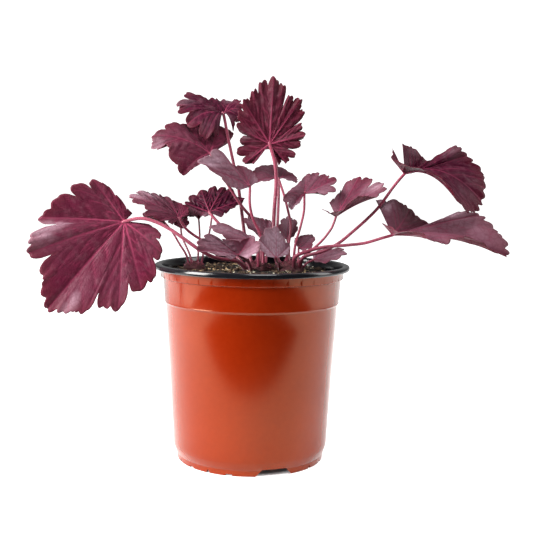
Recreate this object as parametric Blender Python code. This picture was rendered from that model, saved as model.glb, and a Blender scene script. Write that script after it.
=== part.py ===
"""A potted heuchera: a thin plastic nursery pot, its potting mix, three crowns and the long-stalked leaves.

Units are metres, +Z is up, and the origin is under the middle of the whole plant's box, on the floor.
The tables are in millimetres from the middle of the pot's foot circle, MM turns them into metres,
and the last step moves everything by BOX_SHIFT.
"""

import math
import random

import bmesh
import bpy
from mathutils import Vector, noise

MM = 0.001

# The leaves reach further to one side of the pot, so this brings the origin under their middle.
BOX_SHIFT = Vector((-17.6, 0.0, 0.0))

# Pot: outer radii and heights of its steps, in millimetres.
POT_HEIGHT = 165.9
LIP_RADIUS = 82.5
LIP_DROP = 4.0
COLLAR_RADIUS = 77.3
SHOULDER_Z = 155.2
SHOULDER_RADIUS = 75.4
STEP_Z = 134.0
STEP_UPPER_RADIUS = 73.9
STEP_LOWER_RADIUS = 72.7
WALL_FOOT_Z = 12.0
WALL_FOOT_RADIUS = 65.4
FOOT_RING_Z = 5.0
FOOT_RING_RADIUS = 62.4
FOOT_RING_WIDTH = 2.4
WALL = 1.2
FLOOR_Z = 8.0
POT_SIDES = 32

# Openings round the pot's foot.
ARCH_ANGLES = (-70.5, 49.5, 169.5)
ARCH_HALF_WIDTHS = (16.5, 10.0)
ARCH_HEIGHT = 6.0
NOTCH_OFFSETS = (34.0, 51.3, 68.7, 86.0)
NOTCH_HALF_WIDTH = 2.2
NOTCH_HEIGHT = 3.0
DRAIN_RADIUS = 5.0
DRAIN_RING = 34.0

# Potting mix.
SOIL_EDGE_Z = 158.0
SOIL_MOUND = 4.0
SOIL_LUMP = 1.4
GAP = 0.3

# Leaves.
BLADE_THICKNESS = 0.7
STALK_SIDES = 6
STALK_STEP = 15.0
FOOT_DEPTH = 6.0
RINGS = (0.3, 0.66, 1.0)

# Table points were read on the upright plane through the pot's middle, seen from this eye,
# with their depth given apart, so place() carries each one along its line of sight.
EYE = Vector((12.0, -800.0, 244.0))

# Crowns: middle x and y, radius and top height.
CROWNS = {
    "crown_middle": (4.0, -8.0, 13.5, 168.5),
    "crown_left": (-49.0, -2.0, 9.0, 167.0),
    "crown_right": (31.0, -2.0, 13.0, 169.0),
}

# Each leaf: crown, foot of the stalk (x and y from the crown's middle), stalk radius, stalk points,
# join of stalk and blade, the way its upper side looks, ruffle, and the lobe tips in order round
# the blade. A point is (x, z, depth). A tip adds the notch after it, as a share of the reach,
# and the lift of its vein at half way.
LEAVES = {
    "leaf_left_large": dict(
        crown="crown_middle", foot=(-8.5, -7.5), radius=1.45,
        stalk=[(-13, 168, -22), (-22, 169, -26), (-33, 171, -30), (-45, 177, -34), (-58, 186, -34),
               (-70, 194, -32), (-82, 200, -30), (-95, 203, -27)],
        join=(-109, 200, -24), faces=(-0.2, -1, 0.1), ruffle=1.0,
        tips=[(-102, 207, -21, .18, 0), (-112, 219, -27, .12, 0), (-123, 230, -28, .03, 0),
              (-135, 235, -30, .17, 0), (-151, 231, -31, .16, 0), (-167, 219, -31, .05, 0),
              (-181, 202, -28, .25, 2), (-189, 186, -38, .03, 2), (-191, 171, -38, .17, 2),
              (-180, 155, -36, .04, 2), (-180, 140, -36, .03, 2), (-175, 123, -35, .03, 2),
              (-160, 121, -37, .03, 2), (-144, 121, -38, .17, 2), (-128, 126, -36, .03, 2),
              (-114, 124, -36, .20, 2), (-94, 142, -33, .05, 2), (-83, 152, -31, .15, 2),
              (-77, 174, -29, .16, 2), (-78, 190, -27, .12, 2), (-88, 198, -22, .0, 0)]),
    "leaf_left_fan": dict(
        crown="crown_middle", foot=(-9.5, 0.5), radius=1.2,
        stalk=[(-14, 172, 0), (-30, 179, 4), (-46, 187, 2), (-57, 195, 0)],
        join=(-62, 203, 0), faces=(0, -0.3, 1), ruffle=1.2,
        tips=[(-68, 198, -12, .12, 1), (-80, 202, -19, .10, 3), (-92, 206, -18, .15, 5),
              (-91, 212, -9, .14, 5), (-101, 216, 1, .08, 6), (-105, 222, 8, .12, 5),
              (-97, 226, 15, .12, 3), (-88, 225, 20, .12, 2), (-76, 223, 22, .12, 2),
              (-64, 217, 18, .10, 2), (-55, 214, 10, .10, 1), (-54, 207, 3, .0, 0)]),
    "leaf_left_low": dict(
        crown="crown_left", foot=(-4.6, 0.8), radius=0.85,
        stalk=[(-56, 172, 0), (-61, 180, 2), (-69, 193, 5)],
        join=(-76, 201, 8), faces=(0, 0, 1), ruffle=0.6,
        tips=[(-74, 197, 1, .10, 0), (-84, 200, -4, .10, 1), (-93, 205, 3, .12, 2),
              (-93, 208, 14, .12, 2), (-84, 209, 22, .10, 1), (-74, 206, 20, .10, 0),
              (-71, 202, 12, .0, 0)]),
    "leaf_left_small": dict(
        crown="crown_left", foot=(-1.2, -4.4), radius=0.8,
        stalk=[(-53, 172, -4), (-57, 181, 0), (-60, 188, 5)],
        join=(-61, 195, 11), faces=(0, -1, 0.6), ruffle=0.5,
        tips=[(-57, 195, 10, .10, 0), (-54, 200, 12, .12, 0), (-56, 205, 17, .12, 0),
              (-61, 207, 20, .12, 0), (-66, 203, 20, .10, 0), (-67, 198, 15, .0, 0)]),
    "leaf_left_arch": dict(
        crown="crown_left", foot=(2.2, 3.9), radius=0.8,
        stalk=[(-46, 176, 6), (-45, 189, 11)],
        join=(-46, 203, 15), faces=(0, -0.2, 1), ruffle=0.8,
        tips=[(-50, 205, 6, .10, 3), (-60, 204, 4, .12, 9), (-63, 211, 12, .10, 6),
              (-56, 216, 22, .10, 3), (-46, 216, 27, .10, 3), (-38, 213, 22, .10, 3),
              (-34, 206, 12, .12, 6), (-41, 205, 6, .0, 3)]),
    "leaf_back_left": dict(
        crown="crown_left", foot=(5.2, -0.8), radius=0.8,
        stalk=[(-41, 178, 14), (-37, 191, 26), (-35, 204, 34)],
        join=(-34, 211, 38), faces=(0, 0.3, 1), ruffle=0.8,
        tips=[(-43, 208, 33, .10, 2), (-51, 213, 42, .12, 4), (-50, 221, 54, .12, 3),
              (-40, 226, 64, .12, 3), (-28, 226, 66, .12, 3), (-18, 222, 58, .12, 3),
              (-15, 214, 46, .10, 3), (-23, 208, 35, .0, 2)]),
    "leaf_dark_fan": dict(
        crown="crown_middle", foot=(-5.2, -4.6), radius=1.25,
        stalk=[(-7, 176, -13), (-14, 185, -14), (-22, 193, -14), (-31, 202, -12)],
        join=(-37, 209, -10), faces=(0.1, 1, 0.5), ruffle=1.3,
        tips=[(-46, 210, -8, .10, 0), (-58, 216, -5, .12, 0), (-53, 223, 0, .10, 0),
              (-44, 227, 3, .10, 0), (-34, 231, 5, .09, 0), (-25, 230, 5, .08, 0),
              (-18, 229, 3, .18, 0), (-7, 220, -5, .14, 0), (-18, 213, -12, .12, 0),
              (-27, 205, -15, .0, 0)]),
    "leaf_top_left": dict(
        crown="crown_middle", foot=(-4.6, 5.2), radius=1.35,
        stalk=[(-3, 176, 6), (-7, 191, 10), (-10, 212, 12), (-13, 232, 12), (-17, 250, 12),
               (-22, 272, 11)],
        join=(-26, 291, 10), faces=(0, 0.1, 1), ruffle=1.8,
        tips=[(-30, 274, -5, .10, 12), (-42, 270, -9, .12, 16), (-57, 282, -4, .28, 12),
              (-64, 292, 4, .10, 9), (-66, 299, 10, .14, 5), (-58, 308, 16, .18, 1),
              (-51, 308, 22, .12, 1), (-40, 304, 29, .10, 3), (-29, 303, 33, .10, 4),
              (-19, 303, 30, .10, 4), (-12, 303, 22, .12, 3), (-10, 296, 13, .10, 6),
              (-13, 286, 9, .10, 9), (-18, 277, 4, .0, 10)]),
    "leaf_upper_left": dict(
        crown="crown_middle", foot=(1.4, 2.0), radius=1.2,
        stalk=[(7, 176, 1), (7, 188, 2), (0, 203, 0), (-10, 215, -10), (-20, 230, -14),
               (-30, 246, -13)],
        join=(-37, 258, -10), faces=(-0.2, -1, 0.5), ruffle=0.6,
        tips=[(-41, 251, -15, .08, 1), (-49, 247, -19, .12, 4), (-60, 240, -24, .12, 8),
              (-71, 255, -24, .08, 10), (-74, 266, -22, .18, 12), (-80, 261, -19, .10, 13),
              (-86, 262, -16, .08, 14), (-85, 273, -12, .18, 10), (-71, 283, -5, .12, 4),
              (-57, 283, 5, .10, 0), (-44, 285, 16, .10, 0), (-30, 282, 24, .10, 0),
              (-18, 276, 25, .12, 0), (-21, 268, 20, .0, 0)]),
    "leaf_wing": dict(
        crown="crown_middle", foot=(4.8, -3.2), radius=1.15,
        stalk=[(9, 176, -11), (7, 190, -13), (0, 204, -16), (-3, 217, -18)],
        join=(-3, 231, -18), faces=(0.2, 0.6, 1), ruffle=1.0,
        tips=[(-12, 228, -30, .08, 0), (-22, 232, -38, .10, 1), (-37, 246, -43, .10, 2),
              (-47, 252, -38, .14, 3), (-31, 263, -28, .18, 0), (-21, 250, -19, .10, 0),
              (-10, 249, -12, .12, 0), (-1, 244, -9, .10, 0), (4, 236, -13, .0, 0)]),
    "leaf_bridge": dict(
        crown="crown_right", foot=(-2.6, 5.6), radius=1.1,
        stalk=[(30, 180, 6), (32, 198, 10), (29, 213, 12), (25, 227, 14)],
        join=(21, 238, 16), faces=(0, 0, 1), ruffle=0.8,
        tips=[(13, 236, 11, .08, 2), (1, 235, 12, .10, 4), (-2, 241, 18, .12, 5),
              (2, 247, 27, .10, 3), (11, 250, 34, .10, 2), (21, 248, 37, .10, 2),
              (30, 244, 36, .10, 3), (37, 239, 30, .12, 5), (36, 235, 21, .10, 4),
              (28, 237, 12, .0, 2)]),
    "leaf_top_middle": dict(
        crown="crown_right", foot=(-8.2, -2.2), radius=1.6,
        stalk=[(19, 177, 0), (17.5, 197, 4), (18, 215, 5), (19, 235, 5), (17.5, 252, 5)],
        join=(13, 267, 5), faces=(0.1, 1, 0.3), ruffle=2.2,
        tips=[(0, 250, 1, .16, 0), (-8, 250, 3, .14, 0), (-15, 260, 5, .16, 0),
              (-12, 270, 4, .26, 0), (-15, 281, 1, .08, 0), (-14, 292, -1, .09, 0),
              (-10, 303, -2, .09, 0), (-2, 311, -2, .09, 0), (5, 319, -3, .08, 0),
              (16, 323, -5, .07, 0), (25, 316, -4, .27, 0), (30, 308, -4, .08, 0),
              (39, 305, -2, .10, 0), (42, 293, 0, .34, 0), (40, 284, 1, .08, 0),
              (43, 275, 2, .12, 0), (39, 266, 4, .36, 0), (35, 257, 5, .12, 0),
              (28, 252, 8, .16, 0), (21, 250, 11, .0, 0)]),
    "leaf_back_top": dict(
        crown="crown_right", foot=(-7.4, 4.4), radius=1.2,
        stalk=[(20, 180, 10), (21, 205, 28), (21, 235, 44)],
        join=(17, 262, 44), faces=(0, 1, 0.6), ruffle=1.4,
        tips=[(4, 261, 40, .12, 2), (-6, 271, 46, .14, 2), (-5, 287, 52, .14, 2),
              (6, 298, 58, .12, 2), (18, 301, 60, .12, 2), (30, 295, 58, .14, 2),
              (34, 281, 53, .14, 2), (32, 268, 48, .12, 2), (27, 258, 42, .0, 2)]),
    "leaf_mid_strip": dict(
        crown="crown_middle", foot=(1.2, -9.2), radius=1.0,
        stalk=[(5, 172, -20), (5, 178, -21)],
        join=(2, 184, -21), faces=(0, 0, 1), ruffle=0.8,
        tips=[(0, 180, -29, .10, 0), (-10, 183, -35, .12, 1), (-22, 187, -38, .10, 2),
              (-33, 193, -37, .08, 2), (-37, 197, -31, .10, 2), (-28, 200, -24, .10, 2),
              (-15, 196, -19, .10, 1), (-5, 191, -16, .10, 0), (2, 189, -16, .0, 0)]),
    "leaf_front_left": dict(
        crown="crown_middle", foot=(-4.6, -12.2), radius=1.2,
        stalk=[(-4, 168, -28), (-9, 171, -34)],
        join=(-12, 173, -38), faces=(0, -0.6, 1), ruffle=0.9,
        tips=[(-18, 169, -48, .10, 0), (-32, 173, -57, .10, 1), (-47, 177, -58, .12, 2),
              (-47, 184, -53, .10, 1), (-38, 191, -48, .22, 0), (-20, 186, -42, .22, 0),
              (-2, 188, -38, .12, 0), (7, 184, -40, .10, 0), (5, 176, -45, .10, 0),
              (-4, 170, -48, .0, 0)]),
    "leaf_front_right": dict(
        crown="crown_right", foot=(-8.0, -9.4), radius=1.0,
        stalk=[(22, 167, -17), (21, 168, -26)],
        join=(20, 171, -33), faces=(-0.3, -0.8, 1), ruffle=0.8,
        tips=[(12, 172, -43, .10, 0), (6, 179, -47, .10, 0), (6, 187, -43, .10, 0),
              (11, 196, -36, .08, 0), (20, 198, -30, .14, 0), (25, 190, -26, .12, 0),
              (32, 182, -25, .10, 0), (30, 174, -29, .0, 0)]),
    "leaf_right_small": dict(
        crown="crown_right", foot=(7.4, 4.4), radius=0.9,
        stalk=[(39, 174, 8)],
        join=(39, 180, 13), faces=(0, -0.5, 1), ruffle=0.8,
        tips=[(43, 177, 7, .10, 0), (50, 181, 9, .12, 0), (53, 188, 16, .12, 0),
              (50, 192, 25, .12, 0), (43, 191, 31, .12, 0), (36, 189, 27, .10, 0),
              (35, 185, 20, .0, 0)]),
    "leaf_back_right": dict(
        crown="crown_right", foot=(1.8, 9.2), radius=0.95,
        stalk=[(31, 175, 12), (31, 181, 18)],
        join=(29, 187, 24), faces=(0, 0.4, 1), ruffle=1.0,
        tips=[(24, 189, 16, .10, 0), (22, 198, 20, .12, 0), (24, 204, 30, .12, 0),
              (30, 207, 40, .12, 0), (37, 203, 42, .12, 0), (38, 196, 34, .10, 0),
              (35, 190, 26, .0, 0)]),
    "leaf_back_middle": dict(
        crown="crown_middle", foot=(6.6, 6.4), radius=0.95,
        stalk=[(12, 173, 8), (12, 181, 20)],
        join=(12, 188, 30), faces=(0, 0.3, 1), ruffle=1.0,
        tips=[(5, 189, 25, .10, 0), (-4, 197, 25, .12, 1), (-9, 203, 33, .12, 1),
              (-3, 207, 43, .12, 1), (5, 205, 52, .12, 1), (13, 204, 54, .12, 1),
              (19, 199, 46, .10, 0), (17, 191, 33, .0, 0)]),
    "leaf_back_low": dict(
        crown="crown_middle", foot=(0.6, 9.6), radius=1.0,
        stalk=[(4, 172, 14), (4, 174, 28)],
        join=(4, 175, 40), faces=(0, 0.2, 1), ruffle=1.0,
        tips=[(-8, 173, 36, .12, 0), (-18, 175, 50, .14, 2), (-16, 180, 67, .14, 2),
              (-4, 184, 79, .14, 2), (10, 184, 81, .14, 2), (22, 180, 69, .14, 2),
              (26, 175, 53, .12, 2), (15, 173, 37, .0, 0)]),
    "leaf_right_centre": dict(
        crown="crown_right", foot=(3.6, 1.2), radius=1.05,
        stalk=[(36, 182, -1), (40, 197, -3), (43, 212, -5)],
        join=(43, 226, -6), faces=(0, -0.1, 1), ruffle=1.0,
        tips=[(39, 218, -19, .08, 0), (32, 213, -22, .10, 3), (25, 221, -22, .12, 5),
              (29, 227, -15, .10, 4), (36, 233, -3, .10, 2), (44, 242, 8, .08, 0),
              (53, 244, 13, .16, 0), (61, 242, 11, .12, 0), (70, 239, 3, .20, 0),
              (69, 228, -13, .12, 4), (60, 226, -20, .10, 2), (51, 227, -21, .0, 0)]),
    "leaf_right_folded": dict(
        crown="crown_right", foot=(8.6, -1.2), radius=1.05,
        stalk=[(43, 172, -5), (52, 180, -8), (60, 188, -12), (67, 198, -15)],
        join=(70, 207, -15), faces=(-0.3, 0.1, 1), ruffle=0.9,
        tips=[(58, 213, -22, .12, 0), (65, 210, -27, .14, 0), (76, 214, -28, .06, 2),
              (85, 222, -28, .06, 3), (95, 225, -26, .08, 4), (104, 225, -23, .10, 4),
              (112, 231, -17, .10, 4), (109, 236, -12, .20, 2), (98, 240, -6, .08, 0),
              (88, 241, -2, .08, -1), (79, 237, 2, .16, -2), (72, 227, 2, .10, 0),
              (64, 219, -3, .0, 0)]),
    "leaf_right_upper": dict(
        crown="crown_right", foot=(8.6, -6.2), radius=1.3,
        stalk=[(43, 172, -13), (58, 177, -8), (72, 184, -4), (84, 194, -4), (97, 206, -5),
               (107, 217, -5), (118, 233, -5)],
        join=(127, 244, -5), faces=(-0.1, -0.2, 1), ruffle=1.1,
        tips=[(116, 265, -5, .16, 0), (117, 257, -14, .18, 0), (132, 250, -25, .10, 3),
              (150, 244, -32, .08, 7), (163, 236, -34, .08, 13), (173, 222, -32, .07, 20),
              (181, 213, -24, .06, 27), (188, 212, -12, .05, 31), (194, 222, 0, .05, 26),
              (195, 236, 8, .06, 18), (191, 249, 14, .12, 8), (180, 260, 12, .07, -1),
              (170, 268, 9, .10, -8), (158, 262, 14, .10, -8), (146, 256, 20, .12, -4),
              (135, 265, 12, .14, 0), (124, 269, 4, .0, 0)]),
    "leaf_right_lower": dict(
        crown="crown_right", foot=(3.8, -9.0), radius=1.35,
        stalk=[(36, 172, -18), (46, 177, -20), (60, 181, -20), (80, 183, -17), (95, 185, -14),
               (108, 189, -12)],
        join=(118, 192, -10), faces=(-0.2, -0.3, 1), ruffle=1.1,
        tips=[(109, 202, -18, .12, 0), (124, 196, -29, .10, 1), (140, 195, -34, .10, 3),
              (152, 188, -36, .08, 5), (164, 186, -34, .08, 5), (177, 191, -28, .16, 6),
              (192, 188, -20, .06, 8), (206, 179, -12, .08, 11), (217, 176, -4, .06, 13),
              (215, 188, 4, .08, 8), (203, 201, 10, .06, 4), (192, 211, 12, .06, 1),
              (174, 213, 14, .18, -3), (158, 202, 20, .10, -3), (143, 206, 20, .10, -3),
              (133, 215, 16, .10, -3), (120, 222, 8, .16, -2), (103, 222, 1, .0, 0)]),
    "leaf_right_rim": dict(
        crown="crown_right", foot=(12.0, 1.8), radius=0.9,
        stalk=[(46, 167, 0)],
        join=(52, 170, 0), faces=(0, 0, 1), ruffle=0.7,
        tips=[(53, 168, -10, .10, 0), (62, 168, -18, .12, 1), (73, 171, -18, .12, 2),
              (80, 176, -8, .16, 2), (77, 180, 3, .12, 2), (67, 180, 11, .12, 2),
              (58, 179, 13, .10, 2), (51, 174, 9, .0, 0)]),
}


def clear_scene():
    for thing in list(bpy.data.objects):
        bpy.data.objects.remove(thing, do_unlink=True)


def make_material(name, colour, roughness):
    material = bpy.data.materials.new(name)
    material.use_nodes = True
    shader = material.node_tree.nodes["Principled BSDF"]
    shader.inputs["Base Color"].default_value = (*colour, 1.0)
    shader.inputs["Roughness"].default_value = roughness
    shader.inputs["Metallic"].default_value = 0.0
    return material


def link_mesh(name, bm, material):
    mesh = bpy.data.meshes.new(name)
    bm.to_mesh(mesh)
    bm.free()
    if material:
        mesh.materials.append(material)
    thing = bpy.data.objects.new(name, mesh)
    bpy.context.scene.collection.objects.link(thing)
    return thing


def as_helper(thing):
    thing.hide_render = True
    thing.display_type = "WIRE"
    return thing


def add_boolean(thing, other, operation):
    modifier = thing.modifiers.new(operation.title(), "BOOLEAN")
    modifier.operation = operation
    modifier.solver = "EXACT"
    if isinstance(other, bpy.types.Collection):
        modifier.operand_type = "COLLECTION"
        modifier.collection = other
    else:
        modifier.object = other
    return modifier


def helper_collection(name, things):
    collection = bpy.data.collections.new(name)
    bpy.context.scene.collection.children.link(collection)
    for thing in things:
        bpy.context.scene.collection.objects.unlink(thing)
        collection.objects.link(thing)
    return collection


def keep_largest(thing):
    """Applies the object's modifiers and drops the crumbs that its cuts have left."""
    graph = bpy.context.evaluated_depsgraph_get()
    mesh = bpy.data.meshes.new_from_object(thing.evaluated_get(graph))
    thing.modifiers.clear()
    thing.data = mesh
    bm = bmesh.new()
    bm.from_mesh(mesh)
    left = set(bm.verts)
    islands = []
    while left:
        island = set()
        waiting = [min(left, key=lambda vertex: vertex.index)]
        while waiting:
            vertex = waiting.pop()
            if vertex in island:
                continue
            island.add(vertex)
            waiting += [edge.other_vert(vertex) for edge in vertex.link_edges]
        islands.append(island)
        left -= island
    islands.sort(key=len)
    for island in islands[:-1]:
        bmesh.ops.delete(bm, geom=list(island), context="VERTS")
    bm.to_mesh(mesh)
    bm.free()


def turned(name, profile, sides, material):
    """A closed solid turned round Z from a closed (radius, height) outline in millimetres."""
    bm = bmesh.new()
    rings = []
    for side in range(sides):
        angle = 2 * math.pi * side / sides
        ring = [bm.verts.new((r * math.cos(angle) * MM, r * math.sin(angle) * MM, z * MM))
                for r, z in profile]
        rings.append(ring)
    for side, ring in enumerate(rings):
        following = rings[(side + 1) % sides]
        for i in range(len(profile)):
            j = (i + 1) % len(profile)
            bm.faces.new((ring[i], ring[j], following[j], following[i]))
    bmesh.ops.recalc_face_normals(bm, faces=bm.faces)
    return link_mesh(name, bm, material)


def pot_profile():
    """Outline of the pot's wall and foot, from the inside of the floor round to the outside."""
    lip_z = POT_HEIGHT - LIP_DROP
    outer = [
        (FOOT_RING_RADIUS - FOOT_RING_WIDTH, 0.0), (FOOT_RING_RADIUS, 0.0),
        (FOOT_RING_RADIUS + 0.3, FOOT_RING_Z), (WALL_FOOT_RADIUS, WALL_FOOT_Z),
        (STEP_LOWER_RADIUS, STEP_Z - 0.8), (STEP_UPPER_RADIUS, STEP_Z + 0.4),
        (SHOULDER_RADIUS, SHOULDER_Z - 0.8), (COLLAR_RADIUS, SHOULDER_Z + 0.4),
        (COLLAR_RADIUS + 0.4, lip_z), (LIP_RADIUS, lip_z),
        (LIP_RADIUS - 0.2, POT_HEIGHT - 1.0),
        (LIP_RADIUS - 1.8, POT_HEIGHT), (COLLAR_RADIUS - 0.4, POT_HEIGHT),
    ]
    inner = [
        (COLLAR_RADIUS - WALL, POT_HEIGHT - 1.2), (COLLAR_RADIUS - WALL, SHOULDER_Z + 1.2),
        (SHOULDER_RADIUS - WALL, SHOULDER_Z), (STEP_UPPER_RADIUS - WALL, STEP_Z + 1.2),
        (STEP_LOWER_RADIUS - WALL, STEP_Z),
        (WALL_FOOT_RADIUS - WALL, WALL_FOOT_Z + 0.6),
        (FOOT_RING_RADIUS - 2.0, FLOOR_Z + WALL),
    ]
    return outer + inner


def foot_cutter(name, angle, half_widths, height):
    """A wedge that cuts one opening through the foot ring: wide at the floor, narrower on top."""
    low, high = half_widths
    bm = bmesh.new()
    near, far = FOOT_RING_RADIUS - 8.0, FOOT_RING_RADIUS + 4.0
    corners = []
    for radius in (near, far):
        for x, z in ((-low, -1.0), (low, -1.0), (high, height), (-high, height)):
            corners.append(bm.verts.new((radius * MM, x * MM, z * MM)))
    a, b, c, d, e, f, g, h = corners
    for face in ((a, d, c, b), (e, f, g, h), (a, b, f, e), (b, c, g, f), (c, d, h, g), (d, a, e, h)):
        bm.faces.new(face)
    bmesh.ops.recalc_face_normals(bm, faces=bm.faces)
    cutter = as_helper(link_mesh(name, bm, None))
    cutter.rotation_euler = (0, 0, math.radians(angle))
    return cutter


def build_pot(material):
    inner_floor_radius = FOOT_RING_RADIUS - 2.0
    pot = turned("pot", pot_profile(), POT_SIDES, material)
    bm = bmesh.new()
    bm.from_mesh(pot.data)
    # The turned outline closes across the foot, so its two end rings are joined by a floor plate.
    bmesh.ops.delete(
        bm, geom=[f for f in bm.faces if all(v.co.xy.length < (inner_floor_radius + 0.1) * MM
                                             for v in f.verts)], context="FACES_ONLY")
    top = FLOOR_Z + WALL
    loops = {}
    for edge in bm.edges:
        if edge.is_boundary:
            loops.setdefault(round(edge.verts[0].co.z / MM), []).append(edge)
    underside = bmesh.ops.extrude_edge_only(bm, edges=loops[0])["geom"]
    rim = [v for v in underside if isinstance(v, bmesh.types.BMVert)]
    bmesh.ops.translate(bm, verts=rim, vec=(0, 0, FLOOR_Z * MM))
    low_edges = [e for e in underside if isinstance(e, bmesh.types.BMEdge)]
    low_ring = [e for e in low_edges if all(v in rim for v in e.verts)]
    bmesh.ops.contextual_create(bm, geom=low_ring)
    bmesh.ops.contextual_create(bm, geom=loops[round(top)])
    bmesh.ops.recalc_face_normals(bm, faces=bm.faces)
    bm.to_mesh(pot.data)
    bm.free()
    cutters = []
    for arch in ARCH_ANGLES:
        cutters.append(foot_cutter("arch_cutter", arch, ARCH_HALF_WIDTHS, ARCH_HEIGHT))
        for offset in NOTCH_OFFSETS:
            cutters.append(foot_cutter("notch_cutter", arch + offset,
                                       (NOTCH_HALF_WIDTH, 0.4), NOTCH_HEIGHT))
    for hole in range(5):
        angle = 2 * math.pi * hole / 5
        bm = bmesh.new()
        bmesh.ops.create_cone(bm, cap_ends=True, segments=12, radius1=DRAIN_RADIUS * MM,
                              radius2=DRAIN_RADIUS * MM, depth=8 * MM)
        drain = as_helper(link_mesh("drain_cutter", bm, None))
        drain.location = (DRAIN_RING * MM * math.cos(angle), DRAIN_RING * MM * math.sin(angle),
                          (FLOOR_Z + WALL / 2) * MM)
        cutters.append(drain)
    bpy.context.view_layer.update()
    add_boolean(pot, helper_collection("pot_cutters", cutters), "DIFFERENCE")
    return pot


def place(point):
    """Carries a table point (x, z, depth) along its line of sight to its true place, in metres."""
    x, z, depth = point[:3]
    share = (depth - EYE.y) / -EYE.y
    return Vector((EYE.x + (x - EYE.x) * share, depth, EYE.z + (z - EYE.z) * share)) * MM


def between(values, position):
    """Smooth value at a position along a list, by a Catmull-Rom curve through its entries."""
    last = len(values) - 1
    i = min(int(position), last - 1)
    t = position - i
    before = values[i - 1] if i > 0 else values[0] * 2 - values[1]
    after = values[i + 2] if i + 2 <= last else values[last] * 2 - values[last - 1]
    a, b = values[i], values[i + 1]
    return 0.5 * (2 * a + (b - before) * t + (2 * before - 5 * a + 4 * b - after) * t ** 2
                  + (3 * a - before - 3 * b + after) * t ** 3)


def margin_reach(tips, position):
    """Share of the full reach at the leaf's edge: 1 at each lobe tip, less in the notches."""
    i = min(int(position), len(tips) - 2)
    return 1 - tips[i][3] * (1 - abs(math.cos(math.pi * (position - i))))


def blade_grid(leaf, steps):
    """Points of the blade's middle surface, one row for each ring, and the join of the stalk."""
    join = place(leaf["join"])
    tips = [place(tip) for tip in leaf["tips"]]
    mids = [(join + tip) / 2 + Vector((0, 0, row[4] * MM)) for tip, row in zip(tips, leaf["tips"])]
    columns = (len(tips) - 1) * steps + 1
    rows = []
    for ring in RINGS:
        row = []
        for column in range(columns):
            position = column / steps
            reach = ring * margin_reach(leaf["tips"], position)
            tip = between(tips, position)
            mid = between(mids, position)
            row.append(join * (1 - reach) ** 2 + mid * 2 * reach * (1 - reach) + tip * reach ** 2)
        rows.append(row)
    return join, ruffled(join, rows, leaf, steps)


def ruffled(join, rows, leaf, steps):
    """Lifts the notches and lowers the lobe tips across the surface, most at the edge."""
    facing = Vector(leaf["faces"])
    lifted = []
    for ring, row in zip(RINGS, rows):
        new_row = []
        for column, point in enumerate(row):
            left = row[max(column - 1, 0)]
            right = row[min(column + 1, len(row) - 1)]
            normal = (point - join).cross(right - left).normalized()
            if normal.dot(facing) < 0:
                normal = -normal
            wave = -math.cos(2 * math.pi * column / steps)
            new_row.append(point + normal * (leaf["ruffle"] * MM * wave * ring ** 3))
        lifted.append(new_row)
    return lifted


def build_blade(name, leaf, steps, material):
    """The blade as one thin solid, split into the same triangles on both faces."""
    join, rows = blade_grid(leaf, steps)
    bm = bmesh.new()
    hub = bm.verts.new(join)
    grid = [[bm.verts.new(point) for point in row] for row in rows]
    for column in range(len(grid[0]) - 1):
        bm.faces.new((hub, grid[0][column], grid[0][column + 1]))
        for inner, outer in zip(grid, grid[1:]):
            bm.faces.new((inner[column], outer[column], outer[column + 1]))
            bm.faces.new((inner[column], outer[column + 1], inner[column + 1]))
    bmesh.ops.recalc_face_normals(bm, faces=bm.faces)
    blade = link_mesh(name, bm, material)
    skin = blade.modifiers.new("Thickness", "SOLIDIFY")
    skin.thickness = BLADE_THICKNESS * MM
    skin.offset = 0.0
    skin.use_even_offset = False
    return blade


def stalk_points(leaf):
    """Points along the stalk from inside its crown to just inside the blade."""
    x, y, radius, top = CROWNS[leaf["crown"]]
    foot = Vector((x + leaf["foot"][0], y + leaf["foot"][1], top - FOOT_DEPTH)) * MM
    way = [foot] + [place(point) for point in leaf["stalk"]] + [place(leaf["join"])]
    middle = sum((place(tip) for tip in leaf["tips"]), Vector()) / len(leaf["tips"])
    way.append(way[-1] + (middle - way[-1]).normalized() * 2.0 * MM)
    points = []
    for i in range(len(way) - 1):
        pieces = max(1, round((way[i + 1] - way[i]).length / (STALK_STEP * MM)))
        points += [between(way, i + piece / pieces) for piece in range(pieces)]
    return points + [way[-1]]


def build_stalk(name, leaf, grow, material):
    """A tapering tube along the stalk, thicker at its foot. grow adds to its radius."""
    points = stalk_points(leaf)
    curve = bpy.data.curves.new(name, "CURVE")
    curve.dimensions = "3D"
    curve.bevel_depth = MM
    curve.bevel_resolution = (STALK_SIDES - 4) // 2
    curve.use_fill_caps = True
    spline = curve.splines.new("POLY")
    spline.points.add(len(points) - 1)
    for i, (entry, point) in enumerate(zip(spline.points, points)):
        along = i / (len(points) - 1)
        flare = 0.25 * (1 - along) ** 4
        entry.co = (*point, 1)
        entry.radius = leaf["radius"] * (0.95 + 0.12 * (1 - along) + flare) + grow
    tube = bpy.data.objects.new(name, curve)
    bpy.context.scene.collection.objects.link(tube)
    graph = bpy.context.evaluated_depsgraph_get()
    mesh = bpy.data.meshes.new_from_object(tube.evaluated_get(graph))
    bpy.data.objects.remove(tube)
    bm = bmesh.new()
    bm.from_mesh(mesh)
    bmesh.ops.remove_doubles(bm, verts=bm.verts, dist=0.00001)
    bmesh.ops.recalc_face_normals(bm, faces=bm.faces)
    return as_helper(link_mesh(name, bm, material))


def build_leaf(name, leaf, material):
    steps = 2 if len(leaf["tips"]) > 13 else 3
    blade = build_blade(name, leaf, steps, material)
    stalk = build_stalk(name + "_stalk", leaf, 0.0, material)
    add_boolean(blade, stalk, "UNION").use_self = True
    keep_largest(blade)
    return blade


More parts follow.
